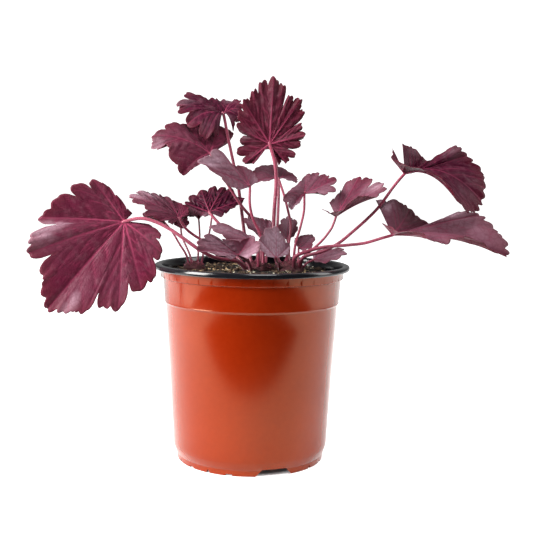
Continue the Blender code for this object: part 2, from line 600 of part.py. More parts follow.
def build_crown(name, stalk_cutters, material):
    """A knobbly dome with pointed bud scales, cut so that each stalk stands in its own hole."""
    x, y, radius, top = CROWNS[name]
    draw = random.Random(name)
    bm = bmesh.new()
    bmesh.ops.create_uvsphere(bm, u_segments=12, v_segments=8, radius=radius * MM)
    for vertex in bm.verts:
        bump = 1 + 0.10 * noise.noise(vertex.co * 260 + Vector((x, y, 0)))
        vertex.co = Vector((vertex.co.x * bump, vertex.co.y * bump, vertex.co.z * 0.62))
        vertex.co += Vector((x, y, top - 0.62 * radius)) * MM
    body = link_mesh(name, bm, material)
    buds = []
    for bud in range(4):
        angle = 2 * math.pi * (bud + draw.random()) / 4
        reach = radius * (0.15 + 0.35 * draw.random())
        bm = bmesh.new()
        bmesh.ops.create_cone(bm, cap_ends=True, segments=6, radius1=1.5 * MM, radius2=0.25 * MM,
                              depth=6.5 * MM)
        scale = as_helper(link_mesh(name + "_bud", bm, None))
        scale.location = Vector((x + reach * math.cos(angle), y + reach * math.sin(angle),
                                 top + 0.6)) * MM
        scale.rotation_euler = (-0.5 * math.sin(angle), 0.5 * math.cos(angle), 0)
        buds.append(scale)
    bpy.context.view_layer.update()
    add_boolean(body, helper_collection(name + "_buds", buds), "UNION")
    add_boolean(body, helper_collection(name + "_holes", stalk_cutters), "DIFFERENCE")
    keep_largest(body)
    return body


def soil_height(x, y):
    """Height of the potting mix at a place, in millimetres: low at the wall, lumpy in between."""
    radius = math.hypot(x, y) / COLLAR_RADIUS
    lumps = noise.noise(Vector((x, y, 3.0)) / 7.0) + 0.6 * noise.noise(Vector((x, y, 9.0)) / 3.5)
    return SOIL_EDGE_Z + SOIL_MOUND * (1 - radius ** 2) + SOIL_LUMP * lumps


def build_soil(stalk_cutters, material):
    """The root ball's potting mix, a fill that stays clear of the pot, with a lumpy top."""
    inset = WALL + GAP
    sides, rings = 32, 6
    outline = [
        (FOOT_RING_RADIUS - 2.0 - GAP, FLOOR_Z + WALL + GAP),
        (WALL_FOOT_RADIUS - inset, WALL_FOOT_Z + 0.6 + GAP),
        (STEP_LOWER_RADIUS - inset, STEP_Z), (STEP_UPPER_RADIUS - inset, STEP_Z + 1.2 + GAP),
        (SHOULDER_RADIUS - inset, SHOULDER_Z - GAP),
    ]
    bm = bmesh.new()
    loops = []
    for radius, z in outline:
        loops.append([bm.verts.new((radius * math.cos(2 * math.pi * k / sides) * MM,
                                    radius * math.sin(2 * math.pi * k / sides) * MM, z * MM))
                      for k in range(sides)])
    for ring in range(rings, 0, -1):
        radius = (SHOULDER_RADIUS - inset) * ring / rings
        loop = []
        for k in range(sides):
            angle = 2 * math.pi * k / sides
            x, y = radius * math.cos(angle), radius * math.sin(angle)
            loop.append(bm.verts.new((x * MM, y * MM, soil_height(x, y) * MM)))
        loops.append(loop)
    for lower, upper in zip(loops, loops[1:]):
        for k in range(sides):
            j = (k + 1) % sides
            bm.faces.new((lower[k], lower[j], upper[j]))
            bm.faces.new((lower[k], upper[j], upper[k]))
    peak = bm.verts.new((0, 0, soil_height(0, 0) * MM))
    for k in range(sides):
        bm.faces.new((loops[-1][k], loops[-1][(k + 1) % sides], peak))
    bm.faces.new(loops[0][::-1])
    bmesh.ops.recalc_face_normals(bm, faces=bm.faces)
    soil = link_mesh("soil", bm, material)
    cutters = list(stalk_cutters)
    for name, (x, y, radius, top) in CROWNS.items():
        bm = bmesh.new()
        bmesh.ops.create_cone(bm, cap_ends=True, segments=16, radius1=(radius * 1.08 + GAP) * MM,
                              radius2=(radius * 1.08 + GAP) * MM, depth=30 * MM)
        well = as_helper(link_mesh(name + "_well", bm, None))
        well.location = Vector((x, y, top - 1.24 * radius - GAP + 15)) * MM
        cutters.append(well)
    bpy.context.view_layer.update()
    add_boolean(soil, helper_collection("soil_holes", cutters), "DIFFERENCE")
    return soil


def main():
    clear_scene()
    terracotta = make_material("terracotta_plastic", (0.55, 0.13, 0.05), 0.35)
    mix = make_material("potting_mix", (0.06, 0.045, 0.03), 0.95)
    crown_skin = make_material("crown_skin", (0.16, 0.03, 0.05), 0.7)
    leaf_skin = make_material("leaf_skin", (0.13, 0.03, 0.06), 0.45)
    build_pot(terracotta)
    holes = {name: [] for name in CROWNS}
    for name, leaf in LEAVES.items():
        build_leaf(name, leaf, leaf_skin)
        holes[leaf["crown"]].append(build_stalk(name + "_hole", leaf, GAP, None))
    for name in CROWNS:
        build_crown(name, holes[name], crown_skin)
    build_soil([], mix)
    for thing in bpy.data.objects:
        thing.location += BOX_SHIFT * MM


main()
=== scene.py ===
"""Dresses the potted heuchera: two-colour pot, potting mix, crowns and veined, hairy leaves.

Lengths in the tables are millimetres, and MM turns them into metres.
"""

import math
import random

import bmesh
import bpy
import numpy as np
from mathutils import Euler, Matrix, Vector, noise


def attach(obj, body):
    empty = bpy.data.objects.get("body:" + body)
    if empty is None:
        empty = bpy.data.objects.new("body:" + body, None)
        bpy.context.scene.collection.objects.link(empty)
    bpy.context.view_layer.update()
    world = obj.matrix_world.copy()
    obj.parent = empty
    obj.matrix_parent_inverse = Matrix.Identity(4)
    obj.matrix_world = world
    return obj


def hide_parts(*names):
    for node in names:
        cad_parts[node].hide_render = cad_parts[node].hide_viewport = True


MM = 0.001

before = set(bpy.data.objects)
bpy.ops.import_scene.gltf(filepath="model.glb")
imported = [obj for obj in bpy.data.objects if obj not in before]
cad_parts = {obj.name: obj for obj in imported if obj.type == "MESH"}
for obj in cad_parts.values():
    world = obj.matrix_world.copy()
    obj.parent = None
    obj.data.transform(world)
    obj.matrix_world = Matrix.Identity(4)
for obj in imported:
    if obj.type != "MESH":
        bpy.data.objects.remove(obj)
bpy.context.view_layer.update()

# Camera, as the photograph was taken.
EYE = Vector((12.0, -800.0, 244.0))
CAMERA_PITCH_DOWN = 0.1
CAMERA_ROLL = 0.016
FOCAL_PIXELS = 946.0
FRAME_PIXELS = 533.0
SENSOR_WIDTH = 36.0

# The row's origin is under the middle of the whole plant, and the tables' is the pot's middle.
FRAME_SHIFT = Vector((-17.6, 0.0, 0.0)) * MM

# Pot.
POT_HEIGHT = 165.9
LIP_HEIGHT = 4.0
LIP_RADIUS = 82.5
COLLAR_RADIUS = 77.3
SHOULDER_Z = 155.2
SHOULDER_RADIUS = 75.4
STEP_Z = 134.0
STEP_UPPER_RADIUS = 73.9
STEP_LOWER_RADIUS = 72.7
WALL_FOOT_Z = 12.0
WALL_FOOT_RADIUS = 65.4
FOOT_RING_Z = 5.0
FOOT_RING_RADIUS = 62.4
FOOT_RING_WIDTH = 2.4
WALL = 1.2
FLOOR_Z = 8.0
POT_SIDES = 160
RIB_COUNT = 40
RIB_PHASE = 4.0
RIB_DEPTH = 0.32
RIB_WIDTH = 0.8
BLACK_ABOVE_Z = 161.2
ARCH_ANGLES = (-70.5, 49.5, 169.5)
ARCH_HALF_WIDTHS = (16.5, 10.0)
ARCH_HEIGHT = 6.0
NOTCH_OFFSETS = (34.0, 51.3, 68.7, 86.0)
NOTCH_HALF_WIDTHS = (2.2, 0.4)
NOTCH_HEIGHT = 3.0
LOW_NOTCH_HALF_WIDTHS = (3.2, 2.6)
LOW_NOTCH_HEIGHT = 1.6
DRAIN_HOLES = 5
DRAIN_RADIUS = 5.0
DRAIN_RING = 34.0
DRAIN_CUT = 8.0

# Potting mix.
SOIL_EDGE_Z = 158.0
SOIL_MOUND = 4.0
SOIL_LUMP = 1.4
SOIL_CRUMB = 0.7
SOIL_RADIUS = 73.4
SOIL_RINGS = 46
SOIL_SIDES = 150
LITTER_REACH = 0.985
BARK_CHIPS = 420
PALE_BARK_CHIPS = 140
PERLITE_GRAINS = 150
FIBRES = 60
FIBRE_RADIUS = 0.14
FIBRE_REACH = 70
FIBRE_BENDS = 6
FIBRE_STEP = 1.1
FIBRE_RINGS = 14

# Leaves.
BLADE_THICKNESS = 0.55
EDGE_THINNING = 0.45
LOBE_REACH = 1.01
DEEPEST_NOTCH = 0.42
PILLOW_HEIGHT = 0.75
PILLOW_WIDTH = 4.5
VEIN_RISE = 0.28
VEIN_SINK = -0.12
SIDE_VEINS = 4
SIDE_VEIN_ANGLE = 0.75
# Width of the painted light at the pale spots.
LIT_SPOT_WIDTH = 0.7
COLUMNS_PER_LOBE = 14
BLADE_RINGS = 26
STALK_SIDES = 12
STALK_STEP = 4.0
STALK_GROOVE = 0.16
FOOT_DEPTH = 6.0
HAIRS_PER_STEP = 7

# Colours of the leaves, by where they show.
LEAF_COLOURS = {
    "maroon": (0.088, 0.003, 0.020),
    "bloom_and_light": (0.430, 0.270, 0.335),
    "rosy": (0.110, 0.004, 0.016),
    "rosy_bloom_and_light": (0.400, 0.240, 0.285),
    "painted_shade": (0.021, 0.001, 0.010),
    "stain": (0.060, 0.010, 0.022),
    "painted_sheen": (0.210, 0.095, 0.122),
    "net": (0.050, 0.003, 0.014),
    "rim": (0.090, 0.012, 0.018),
    "crease_shade": (0.035, 0.002, 0.010),
    "vein": (0.400, 0.060, 0.130),
}
STALK_FOOT_COLOURS = ((0.120, 0.010, 0.028), (0.240, 0.026, 0.062))
STALK_TOP_COLOURS = ((0.220, 0.018, 0.050), (0.370, 0.055, 0.110))
HAIR_COLOUR = (0.62, 0.36, 0.42)

# Colours of the pot.
TERRACOTTA_COLOURS = ((0.175, 0.0100, 0.0006), (0.205, 0.0140, 0.0010))
TERRACOTTA_SHINE = (1.0, 0.62, 0.36)
BLACK_COLOURS = ((0.003, 0.003, 0.005), (0.007, 0.007, 0.009))

# Rough natural skins: dark and pale colour, scale of the mottle, and roughness.
EARTHS = {
    "wet_peat": ((0.002, 0.002, 0.001), (0.020, 0.012, 0.008), 240, 0.9),
    "brown_bark": ((0.010, 0.006, 0.004), (0.11, 0.060, 0.030), 300, 0.8),
    "pale_bark": ((0.26, 0.16, 0.075), (0.62, 0.45, 0.25), 300, 0.8),
    "perlite": ((0.55, 0.50, 0.34), (0.85, 0.80, 0.62), 400, 0.9),
    "fibre": ((0.30, 0.22, 0.12), (0.55, 0.45, 0.28), 300, 0.7),
    "crown_bark": ((0.030, 0.006, 0.008), (0.11, 0.020, 0.028), 260, 0.7),
    "bud_scale": ((0.10, 0.012, 0.028), (0.30, 0.050, 0.090), 220, 0.5),
}

# Studio, in metres and watts: each light's place, size, power and colour.
SHEET_SIZE = 12.0
SHEET_FRONT = -0.245
FLOOR_GLOW = 1.05
# Glow of the floor in the painted shadow beside the pot.
FLOOR_SHADOW_GLOW = 0.62
FLOOR_BOUNCE = 0.10
ROOM_BRIGHTNESS = 1.3
FRONT_LIGHT = 0.05
BACK_LIGHT = 0.28
LIGHT_AIM_Z = 0.16
LIGHTS = (
    ("window_left", (-1.4, -0.60, 0.75), (0.8, 1.1), 76.0, (1.0, 0.99, 0.97)),
    ("window_right", (1.5, 0.05, 0.80), (0.6, 1.2), 14.0, (1.0, 0.99, 0.98)),
    ("over_head", (0.3, -1.1, 1.5), (0.8, 0.6), 22.0, (1.0, 1.0, 1.0)),
)

# Crowns: middle x and y, radius and top height. Their height is a share of their radius.
CROWN_FLATNESS = 0.62
CROWNS = {
    "crown_middle": (4.0, -8.0, 13.5, 168.5),
    "crown_left": (-49.0, -2.0, 9.0, 167.0),
    "crown_right": (31.0, -2.0, 13.0, 169.0),
}

# Each leaf: crown, foot of the stalk (x and y from the crown's middle), stalk radius, stalk points,
# join of stalk and blade, the way its upper side looks, ruffle, and the lobe tips in order round
# the blade. A point is (x, z, depth). A tip adds the notch after it, as a share of the reach,
# and the lift of its vein at half way.
LEAVES = {
    "leaf_left_large": dict(
        crown="crown_middle", foot=(-8.5, -7.5), radius=1.45,
        stalk=[(-13, 168, -22), (-22, 169, -26), (-33, 171, -30), (-45, 177, -34), (-58, 186, -34),
               (-70, 194, -32), (-82, 200, -30), (-95, 203, -27)],
        join=(-109, 200, -24), faces=(-0.2, -1, 0.1), ruffle=1.0,
        tips=[(-102, 207, -21, .18, 0), (-112, 219, -27, .12, 0), (-123, 230, -28, .03, 0),
              (-135, 235, -30, .17, 0), (-151, 231, -31, .16, 0), (-167, 219, -31, .05, 0),
              (-181, 202, -28, .25, 2), (-189, 186, -38, .03, 2), (-191, 171, -38, .17, 2),
              (-180, 155, -36, .04, 2), (-180, 140, -36, .03, 2), (-175, 123, -35, .03, 2),
              (-160, 121, -37, .03, 2), (-144, 121, -38, .17, 2), (-128, 126, -36, .03, 2),
              (-114, 124, -36, .20, 2), (-94, 142, -33, .05, 2), (-83, 152, -31, .15, 2),
              (-77, 174, -29, .16, 2), (-78, 190, -27, .12, 2), (-88, 198, -22, .0, 0)]),
    "leaf_left_fan": dict(
        crown="crown_middle", foot=(-9.5, 0.5), radius=1.2,
        stalk=[(-14, 172, 0), (-30, 179, 4), (-46, 187, 2), (-57, 195, 0)],
        join=(-62, 203, 0), faces=(0, -0.3, 1), ruffle=1.2,
        tips=[(-68, 198, -12, .12, 1), (-80, 202, -19, .10, 3), (-92, 206, -18, .15, 5),
              (-91, 212, -9, .14, 5), (-101, 216, 1, .08, 6), (-105, 222, 8, .12, 5),
              (-97, 226, 15, .12, 3), (-88, 225, 20, .12, 2), (-76, 223, 22, .12, 2),
              (-64, 217, 18, .10, 2), (-55, 214, 10, .10, 1), (-54, 207, 3, .0, 0)]),
    "leaf_left_low": dict(
        crown="crown_left", foot=(-4.6, 0.8), radius=0.85,
        stalk=[(-56, 172, 0), (-61, 180, 2), (-69, 193, 5)],
        join=(-76, 201, 8), faces=(0, 0, 1), ruffle=0.6,
        tips=[(-74, 197, 1, .10, 0), (-84, 200, -4, .10, 1), (-93, 205, 3, .12, 2),
              (-93, 208, 14, .12, 2), (-84, 209, 22, .10, 1), (-74, 206, 20, .10, 0),
              (-71, 202, 12, .0, 0)]),
    "leaf_left_small": dict(
        crown="crown_left", foot=(-1.2, -4.4), radius=0.8,
        stalk=[(-53, 172, -4), (-57, 181, 0), (-60, 188, 5)],
        join=(-61, 195, 11), faces=(0, -1, 0.6), ruffle=0.5,
        tips=[(-57, 195, 10, .10, 0), (-54, 200, 12, .12, 0), (-56, 205, 17, .12, 0),
              (-61, 207, 20, .12, 0), (-66, 203, 20, .10, 0), (-67, 198, 15, .0, 0)]),
    "leaf_left_arch": dict(
        crown="crown_left", foot=(2.2, 3.9), radius=0.8,
        stalk=[(-46, 176, 6), (-45, 189, 11)],
        join=(-46, 203, 15), faces=(0, -0.2, 1), ruffle=0.8,
        tips=[(-50, 205, 6, .10, 3), (-60, 204, 4, .12, 9), (-63, 211, 12, .10, 6),
              (-56, 216, 22, .10, 3), (-46, 216, 27, .10, 3), (-38, 213, 22, .10, 3),
              (-34, 206, 12, .12, 6), (-41, 205, 6, .0, 3)]),
    "leaf_back_left": dict(
        crown="crown_left", foot=(5.2, -0.8), radius=0.8,
        stalk=[(-41, 178, 14), (-37, 191, 26), (-35, 204, 34)],
        join=(-34, 211, 38), faces=(0, 0.3, 1), ruffle=0.8,
        tips=[(-43, 208, 33, .10, 2), (-51, 213, 42, .12, 4), (-50, 221, 54, .12, 3),
              (-40, 226, 64, .12, 3), (-28, 226, 66, .12, 3), (-18, 222, 58, .12, 3),
              (-15, 214, 46, .10, 3), (-23, 208, 35, .0, 2)]),
    "leaf_dark_fan": dict(
        crown="crown_middle", foot=(-5.2, -4.6), radius=1.25,
        stalk=[(-7, 176, -13), (-14, 185, -14), (-22, 193, -14), (-31, 202, -12)],
        join=(-37, 209, -10), faces=(0.1, 1, 0.5), ruffle=1.3,
        tips=[(-46, 210, -8, .10, 0), (-58, 216, -5, .12, 0), (-53, 223, 0, .10, 0),
              (-44, 227, 3, .10, 0), (-34, 231, 5, .09, 0), (-25, 230, 5, .08, 0),
              (-18, 229, 3, .18, 0), (-7, 220, -5, .14, 0), (-18, 213, -12, .12, 0),
              (-27, 205, -15, .0, 0)]),
    "leaf_top_left": dict(
        crown="crown_middle", foot=(-4.6, 5.2), radius=1.35,
        stalk=[(-3, 176, 6), (-7, 191, 10), (-10, 212, 12), (-13, 232, 12), (-17, 250, 12),
               (-22, 272, 11)],
        join=(-26, 291, 10), faces=(0, 0.1, 1), ruffle=1.8,
        tips=[(-30, 274, -5, .10, 12), (-42, 270, -9, .12, 16), (-57, 282, -4, .28, 12),
              (-64, 292, 4, .10, 9), (-66, 299, 10, .14, 5), (-58, 308, 16, .18, 1),
              (-51, 308, 22, .12, 1), (-40, 304, 29, .10, 3), (-29, 303, 33, .10, 4),
              (-19, 303, 30, .10, 4), (-12, 303, 22, .12, 3), (-10, 296, 13, .10, 6),
              (-13, 286, 9, .10, 9), (-18, 277, 4, .0, 10)]),
    "leaf_upper_left": dict(
        crown="crown_middle", foot=(1.4, 2.0), radius=1.2,
        stalk=[(7, 176, 1), (7, 188, 2), (0, 203, 0), (-10, 215, -10), (-20, 230, -14),
               (-30, 246, -13)],
        join=(-37, 258, -10), faces=(-0.2, -1, 0.5), ruffle=0.6,
        tips=[(-41, 251, -15, .08, 1), (-49, 247, -19, .12, 4), (-60, 240, -24, .12, 8),
              (-71, 255, -24, .08, 10), (-74, 266, -22, .18, 12), (-80, 261, -19, .10, 13),
              (-86, 262, -16, .08, 14), (-85, 273, -12, .18, 10), (-71, 283, -5, .12, 4),
              (-57, 283, 5, .10, 0), (-44, 285, 16, .10, 0), (-30, 282, 24, .10, 0),
              (-18, 276, 25, .12, 0), (-21, 268, 20, .0, 0)]),
    "leaf_wing": dict(
        crown="crown_middle", foot=(4.8, -3.2), radius=1.15,
        stalk=[(9, 176, -11), (7, 190, -13), (0, 204, -16), (-3, 217, -18)],
        join=(-3, 231, -18), faces=(0.2, 0.6, 1), ruffle=1.0,
        tips=[(-12, 228, -30, .08, 0), (-22, 232, -38, .10, 1), (-37, 246, -43, .10, 2),
              (-47, 252, -38, .14, 3), (-31, 263, -28, .18, 0), (-21, 250, -19, .10, 0),
              (-10, 249, -12, .12, 0), (-1, 244, -9, .10, 0), (4, 236, -13, .0, 0)]),
    "leaf_bridge": dict(
        crown="crown_right", foot=(-2.6, 5.6), radius=1.1,
        stalk=[(30, 180, 6), (32, 198, 10), (29, 213, 12), (25, 227, 14)],
        join=(21, 238, 16), faces=(0, 0, 1), ruffle=0.8,
        tips=[(13, 236, 11, .08, 2), (1, 235, 12, .10, 4), (-2, 241, 18, .12, 5),
              (2, 247, 27, .10, 3), (11, 250, 34, .10, 2), (21, 248, 37, .10, 2),
              (30, 244, 36, .10, 3), (37, 239, 30, .12, 5), (36, 235, 21, .10, 4),
              (28, 237, 12, .0, 2)]),
    "leaf_top_middle": dict(
        crown="crown_right", foot=(-8.2, -2.2), radius=1.6,
        stalk=[(19, 177, 0), (17.5, 197, 4), (18, 215, 5), (19, 235, 5), (17.5, 252, 5)],
        join=(13, 267, 5), faces=(0.1, 1, 0.3), ruffle=2.2,
        tips=[(0, 250, 1, .16, 0), (-8, 250, 3, .14, 0), (-15, 260, 5, .16, 0),
              (-12, 270, 4, .26, 0), (-15, 281, 1, .08, 0), (-14, 292, -1, .09, 0),
              (-10, 303, -2, .09, 0), (-2, 311, -2, .09, 0), (5, 319, -3, .08, 0),
              (16, 323, -5, .07, 0), (25, 316, -4, .27, 0), (30, 308, -4, .08, 0),
              (39, 305, -2, .10, 0), (42, 293, 0, .34, 0), (40, 284, 1, .08, 0),
              (43, 275, 2, .12, 0), (39, 266, 4, .36, 0), (35, 257, 5, .12, 0),
              (28, 252, 8, .16, 0), (21, 250, 11, .0, 0)]),
    "leaf_back_top": dict(
        crown="crown_right", foot=(-7.4, 4.4), radius=1.2,
        stalk=[(20, 180, 10), (21, 205, 28), (21, 235, 44)],
        join=(17, 262, 44), faces=(0, 1, 0.6), ruffle=1.4,
        tips=[(4, 261, 40, .12, 2), (-6, 271, 46, .14, 2), (-5, 287, 52, .14, 2),
              (6, 298, 58, .12, 2), (18, 301, 60, .12, 2), (30, 295, 58, .14, 2),
              (34, 281, 53, .14, 2), (32, 268, 48, .12, 2), (27, 258, 42, .0, 2)]),
    "leaf_mid_strip": dict(
        crown="crown_middle", foot=(1.2, -9.2), radius=1.0,
        stalk=[(5, 172, -20), (5, 178, -21)],
        join=(2, 184, -21), faces=(0, 0, 1), ruffle=0.8,
        tips=[(0, 180, -29, .10, 0), (-10, 183, -35, .12, 1), (-22, 187, -38, .10, 2),
              (-33, 193, -37, .08, 2), (-37, 197, -31, .10, 2), (-28, 200, -24, .10, 2),
              (-15, 196, -19, .10, 1), (-5, 191, -16, .10, 0), (2, 189, -16, .0, 0)]),
    "leaf_front_left": dict(
        crown="crown_middle", foot=(-4.6, -12.2), radius=1.2,
        stalk=[(-4, 168, -28), (-9, 171, -34)],
        join=(-12, 173, -38), faces=(0, -0.6, 1), ruffle=0.9,
        tips=[(-18, 169, -48, .10, 0), (-32, 173, -57, .10, 1), (-47, 177, -58, .12, 2),
              (-47, 184, -53, .10, 1), (-38, 191, -48, .22, 0), (-20, 186, -42, .22, 0),
              (-2, 188, -38, .12, 0), (7, 184, -40, .10, 0), (5, 176, -45, .10, 0),
              (-4, 170, -48, .0, 0)]),
    "leaf_front_right": dict(
        crown="crown_right", foot=(-8.0, -9.4), radius=1.0,
        stalk=[(22, 167, -17), (21, 168, -26)],
        join=(20, 171, -33), faces=(-0.3, -0.8, 1), ruffle=0.8,
        tips=[(12, 172, -43, .10, 0), (6, 179, -47, .10, 0), (6, 187, -43, .10, 0),
              (11, 196, -36, .08, 0), (20, 198, -30, .14, 0), (25, 190, -26, .12, 0),
              (32, 182, -25, .10, 0), (30, 174, -29, .0, 0)]),
    "leaf_right_small": dict(
        crown="crown_right", foot=(7.4, 4.4), radius=0.9,
        stalk=[(39, 174, 8)],
        join=(39, 180, 13), faces=(0, -0.5, 1), ruffle=0.8,
        tips=[(43, 177, 7, .10, 0), (50, 181, 9, .12, 0), (53, 188, 16, .12, 0),
              (50, 192, 25, .12, 0), (43, 191, 31, .12, 0), (36, 189, 27, .10, 0),
              (35, 185, 20, .0, 0)]),
    "leaf_back_right": dict(
        crown="crown_right", foot=(1.8, 9.2), radius=0.95,
        stalk=[(31, 175, 12), (31, 181, 18)],
        join=(29, 187, 24), faces=(0, 0.4, 1), ruffle=1.0,
        tips=[(24, 189, 16, .10, 0), (22, 198, 20, .12, 0), (24, 204, 30, .12, 0),
              (30, 207, 40, .12, 0), (37, 203, 42, .12, 0), (38, 196, 34, .10, 0),
              (35, 190, 26, .0, 0)]),
    "leaf_back_middle": dict(
        crown="crown_middle", foot=(6.6, 6.4), radius=0.95,
        stalk=[(12, 173, 8), (12, 181, 20)],
        join=(12, 188, 30), faces=(0, 0.3, 1), ruffle=1.0,
        tips=[(5, 189, 25, .10, 0), (-4, 197, 25, .12, 1), (-9, 203, 33, .12, 1),
              (-3, 207, 43, .12, 1), (5, 205, 52, .12, 1), (13, 204, 54, .12, 1),
              (19, 199, 46, .10, 0), (17, 191, 33, .0, 0)]),
    "leaf_back_low": dict(
        crown="crown_middle", foot=(0.6, 9.6), radius=1.0,
        stalk=[(4, 172, 14), (4, 174, 28)],
        join=(4, 175, 40), faces=(0, 0.2, 1), ruffle=1.0,
        tips=[(-8, 173, 36, .12, 0), (-18, 175, 50, .14, 2), (-16, 180, 67, .14, 2),
              (-4, 184, 79, .14, 2), (10, 184, 81, .14, 2), (22, 180, 69, .14, 2),
              (26, 175, 53, .12, 2), (15, 173, 37, .0, 0)]),
    "leaf_right_centre": dict(
        crown="crown_right", foot=(3.6, 1.2), radius=1.05,
        stalk=[(36, 182, -1), (40, 197, -3), (43, 212, -5)],
        join=(43, 226, -6), faces=(0, -0.1, 1), ruffle=1.0,
        tips=[(39, 218, -19, .08, 0), (32, 213, -22, .10, 3), (25, 221, -22, .12, 5),
              (29, 227, -15, .10, 4), (36, 233, -3, .10, 2), (44, 242, 8, .08, 0),
              (53, 244, 13, .16, 0), (61, 242, 11, .12, 0), (70, 239, 3, .20, 0),
              (69, 228, -13, .12, 4), (60, 226, -20, .10, 2), (51, 227, -21, .0, 0)]),
    "leaf_right_folded": dict(
        crown="crown_right", foot=(8.6, -1.2), radius=1.05,
        stalk=[(43, 172, -5), (52, 180, -8), (60, 188, -12), (67, 198, -15)],
        join=(70, 207, -15), faces=(-0.3, 0.1, 1), ruffle=0.9,
        tips=[(58, 213, -22, .12, 0), (65, 210, -27, .14, 0), (76, 214, -28, .06, 2),
              (85, 222, -28, .06, 3), (95, 225, -26, .08, 4), (104, 225, -23, .10, 4),
              (112, 231, -17, .10, 4), (109, 236, -12, .20, 2), (98, 240, -6, .08, 0),
              (88, 241, -2, .08, -1), (79, 237, 2, .16, -2), (72, 227, 2, .10, 0),
              (64, 219, -3, .0, 0)]),
    "leaf_right_upper": dict(
        crown="crown_right", foot=(8.6, -6.2), radius=1.3,
        stalk=[(43, 172, -13), (58, 177, -8), (72, 184, -4), (84, 194, -4), (97, 206, -5),
               (107, 217, -5), (118, 233, -5)],
        join=(127, 244, -5), faces=(-0.1, -0.2, 1), ruffle=1.1,
        tips=[(116, 265, -5, .16, 0), (117, 257, -14, .18, 0), (132, 250, -25, .10, 3),
              (150, 244, -32, .08, 7), (163, 236, -34, .08, 13), (173, 222, -32, .07, 20),
              (181, 213, -24, .06, 27), (188, 212, -12, .05, 31), (194, 222, 0, .05, 26),
              (195, 236, 8, .06, 18), (191, 249, 14, .12, 8), (180, 260, 12, .07, -1),
              (170, 268, 9, .10, -8), (158, 262, 14, .10, -8), (146, 256, 20, .12, -4),
              (135, 265, 12, .14, 0), (124, 269, 4, .0, 0)]),
    "leaf_right_lower": dict(
        crown="crown_right", foot=(3.8, -9.0), radius=1.35,
        stalk=[(36, 172, -18), (46, 177, -20), (60, 181, -20), (80, 183, -17), (95, 185, -14),
               (108, 189, -12)],
        join=(118, 192, -10), faces=(-0.2, -0.3, 1), ruffle=1.1,
        tips=[(109, 202, -18, .12, 0), (124, 196, -29, .10, 1), (140, 195, -34, .10, 3),
              (152, 188, -36, .08, 5), (164, 186, -34, .08, 5), (177, 191, -28, .16, 6),
              (192, 188, -20, .06, 8), (206, 179, -12, .08, 11), (217, 176, -4, .06, 13),
              (215, 188, 4, .08, 8), (203, 201, 10, .06, 4), (192, 211, 12, .06, 1),
              (174, 213, 14, .18, -3), (158, 202, 20, .10, -3), (143, 206, 20, .10, -3),
              (133, 215, 16, .10, -3), (120, 222, 8, .16, -2), (103, 222, 1, .0, 0)]),
    "leaf_right_rim": dict(
        crown="crown_right", foot=(12.0, 1.8), radius=0.9,
        stalk=[(46, 167, 0)],
        join=(52, 170, 0), faces=(0, 0, 1), ruffle=0.7,
        tips=[(53, 168, -10, .10, 0), (62, 168, -18, .12, 1), (73, 171, -18, .12, 2),
              (80, 176, -8, .16, 2), (77, 180, 3, .12, 2), (67, 180, 11, .12, 2),
              (58, 179, 13, .10, 2), (51, 174, 9, .0, 0)]),
}

# How each leaf looks: main veins (lobe numbers), lilac share (its own lilac tone and painted
# light), darkness (painted shade), depth of the quilting, depth of the notches against the table's,
# and the places round the edge that are palest (painted light on lit, curled lobes).
LOOKS = {
    "leaf_left_large": ((1, 3, 6, 8, 11, 15, 16, 18), 0.10, 0.05, 0.60, 1.10, (6.7, 12.0)),
    "leaf_left_fan": ((1, 3, 5, 8, 10), 0.28, 0.12, 0.9, 1.3, (5.0, 6.5)),
    "leaf_left_low": ((1, 3, 5), 0.30, 0.25, 0.5, 1.3, ()),
    "leaf_left_small": ((1, 3), 0.30, 0.30, 0.5, 1.3, ()),
    "leaf_left_arch": ((1, 3, 5), 0.80, 0.05, 0.6, 1.3, (1.5,)),
    "leaf_back_left": ((1, 3, 5), 0.40, 0.30, 0.6, 1.3, ()),
    "leaf_dark_fan": ((1, 3, 5, 7), 0.00, 0.95, 1.3, 1.3, ()),
    "leaf_top_left": ((2, 4, 6, 9, 11), 0.10, 0.68, 1.4, 1.6, (4.2, 9.0)),
    "leaf_upper_left": ((2, 4, 7, 9, 11), 0.14, 0.05, 0.7, 0.6, (5.6, 6.6)),
    "leaf_wing": ((2, 4, 6), 0.66, 0.00, 0.45, 0.8, (3.0,)),
    "leaf_bridge": ((1, 4, 7), 0.66, 0.10, 0.45, 0.8, ()),
    "leaf_top_middle": ((1, 4, 6, 9, 12, 15, 18), 0.14, 0.50, 0.6, 1.3, (3.4,)),
    "leaf_back_top": ((1, 4, 7), 0.35, 0.50, 1.2, 1.3, ()),
    "leaf_mid_strip": ((2, 4, 6), 1.05, 0.00, 0.5, 0.9, ()),
    "leaf_front_left": ((2, 4, 6), 1.00, 0.00, 0.8, 1.0, ()),
    # Raised lilac share: painted light on this leaf, which sits in shade.
    "leaf_front_right": ((2, 4, 6), 3.00, 0.00, 0.8, 1.0, ()),
    "leaf_right_small": ((1, 3, 5), 0.80, 0.10, 0.7, 1.3, ()),
    "leaf_back_right": ((1, 3, 5), 1.00, 0.15, 0.8, 1.3, ()),
    "leaf_back_middle": ((1, 3, 5), 1.00, 0.20, 0.8, 1.3, ()),
    "leaf_back_low": ((1, 3, 5), 0.60, 0.50, 0.8, 1.3, ()),
    "leaf_right_centre": ((1, 5, 8, 10), 0.60, 0.10, 0.6, 1.2, (1.0,)),
    "leaf_right_folded": ((2, 5, 9), 0.45, 0.10, 0.5, 1.1, (7.0,)),
    "leaf_right_upper": ((1, 5, 8, 11, 14), 0.00, 0.62, 0.8, 0.40, (12.0, 15.0)),
    "leaf_right_lower": ((1, 4, 8, 11, 15), 0.42, 0.05, 0.6, 0.55, (12.0, 16.5)),
    "leaf_right_rim": ((1, 3, 5), 1.10, 0.10, 0.5, 1.2, ()),
}


# Placing and joining


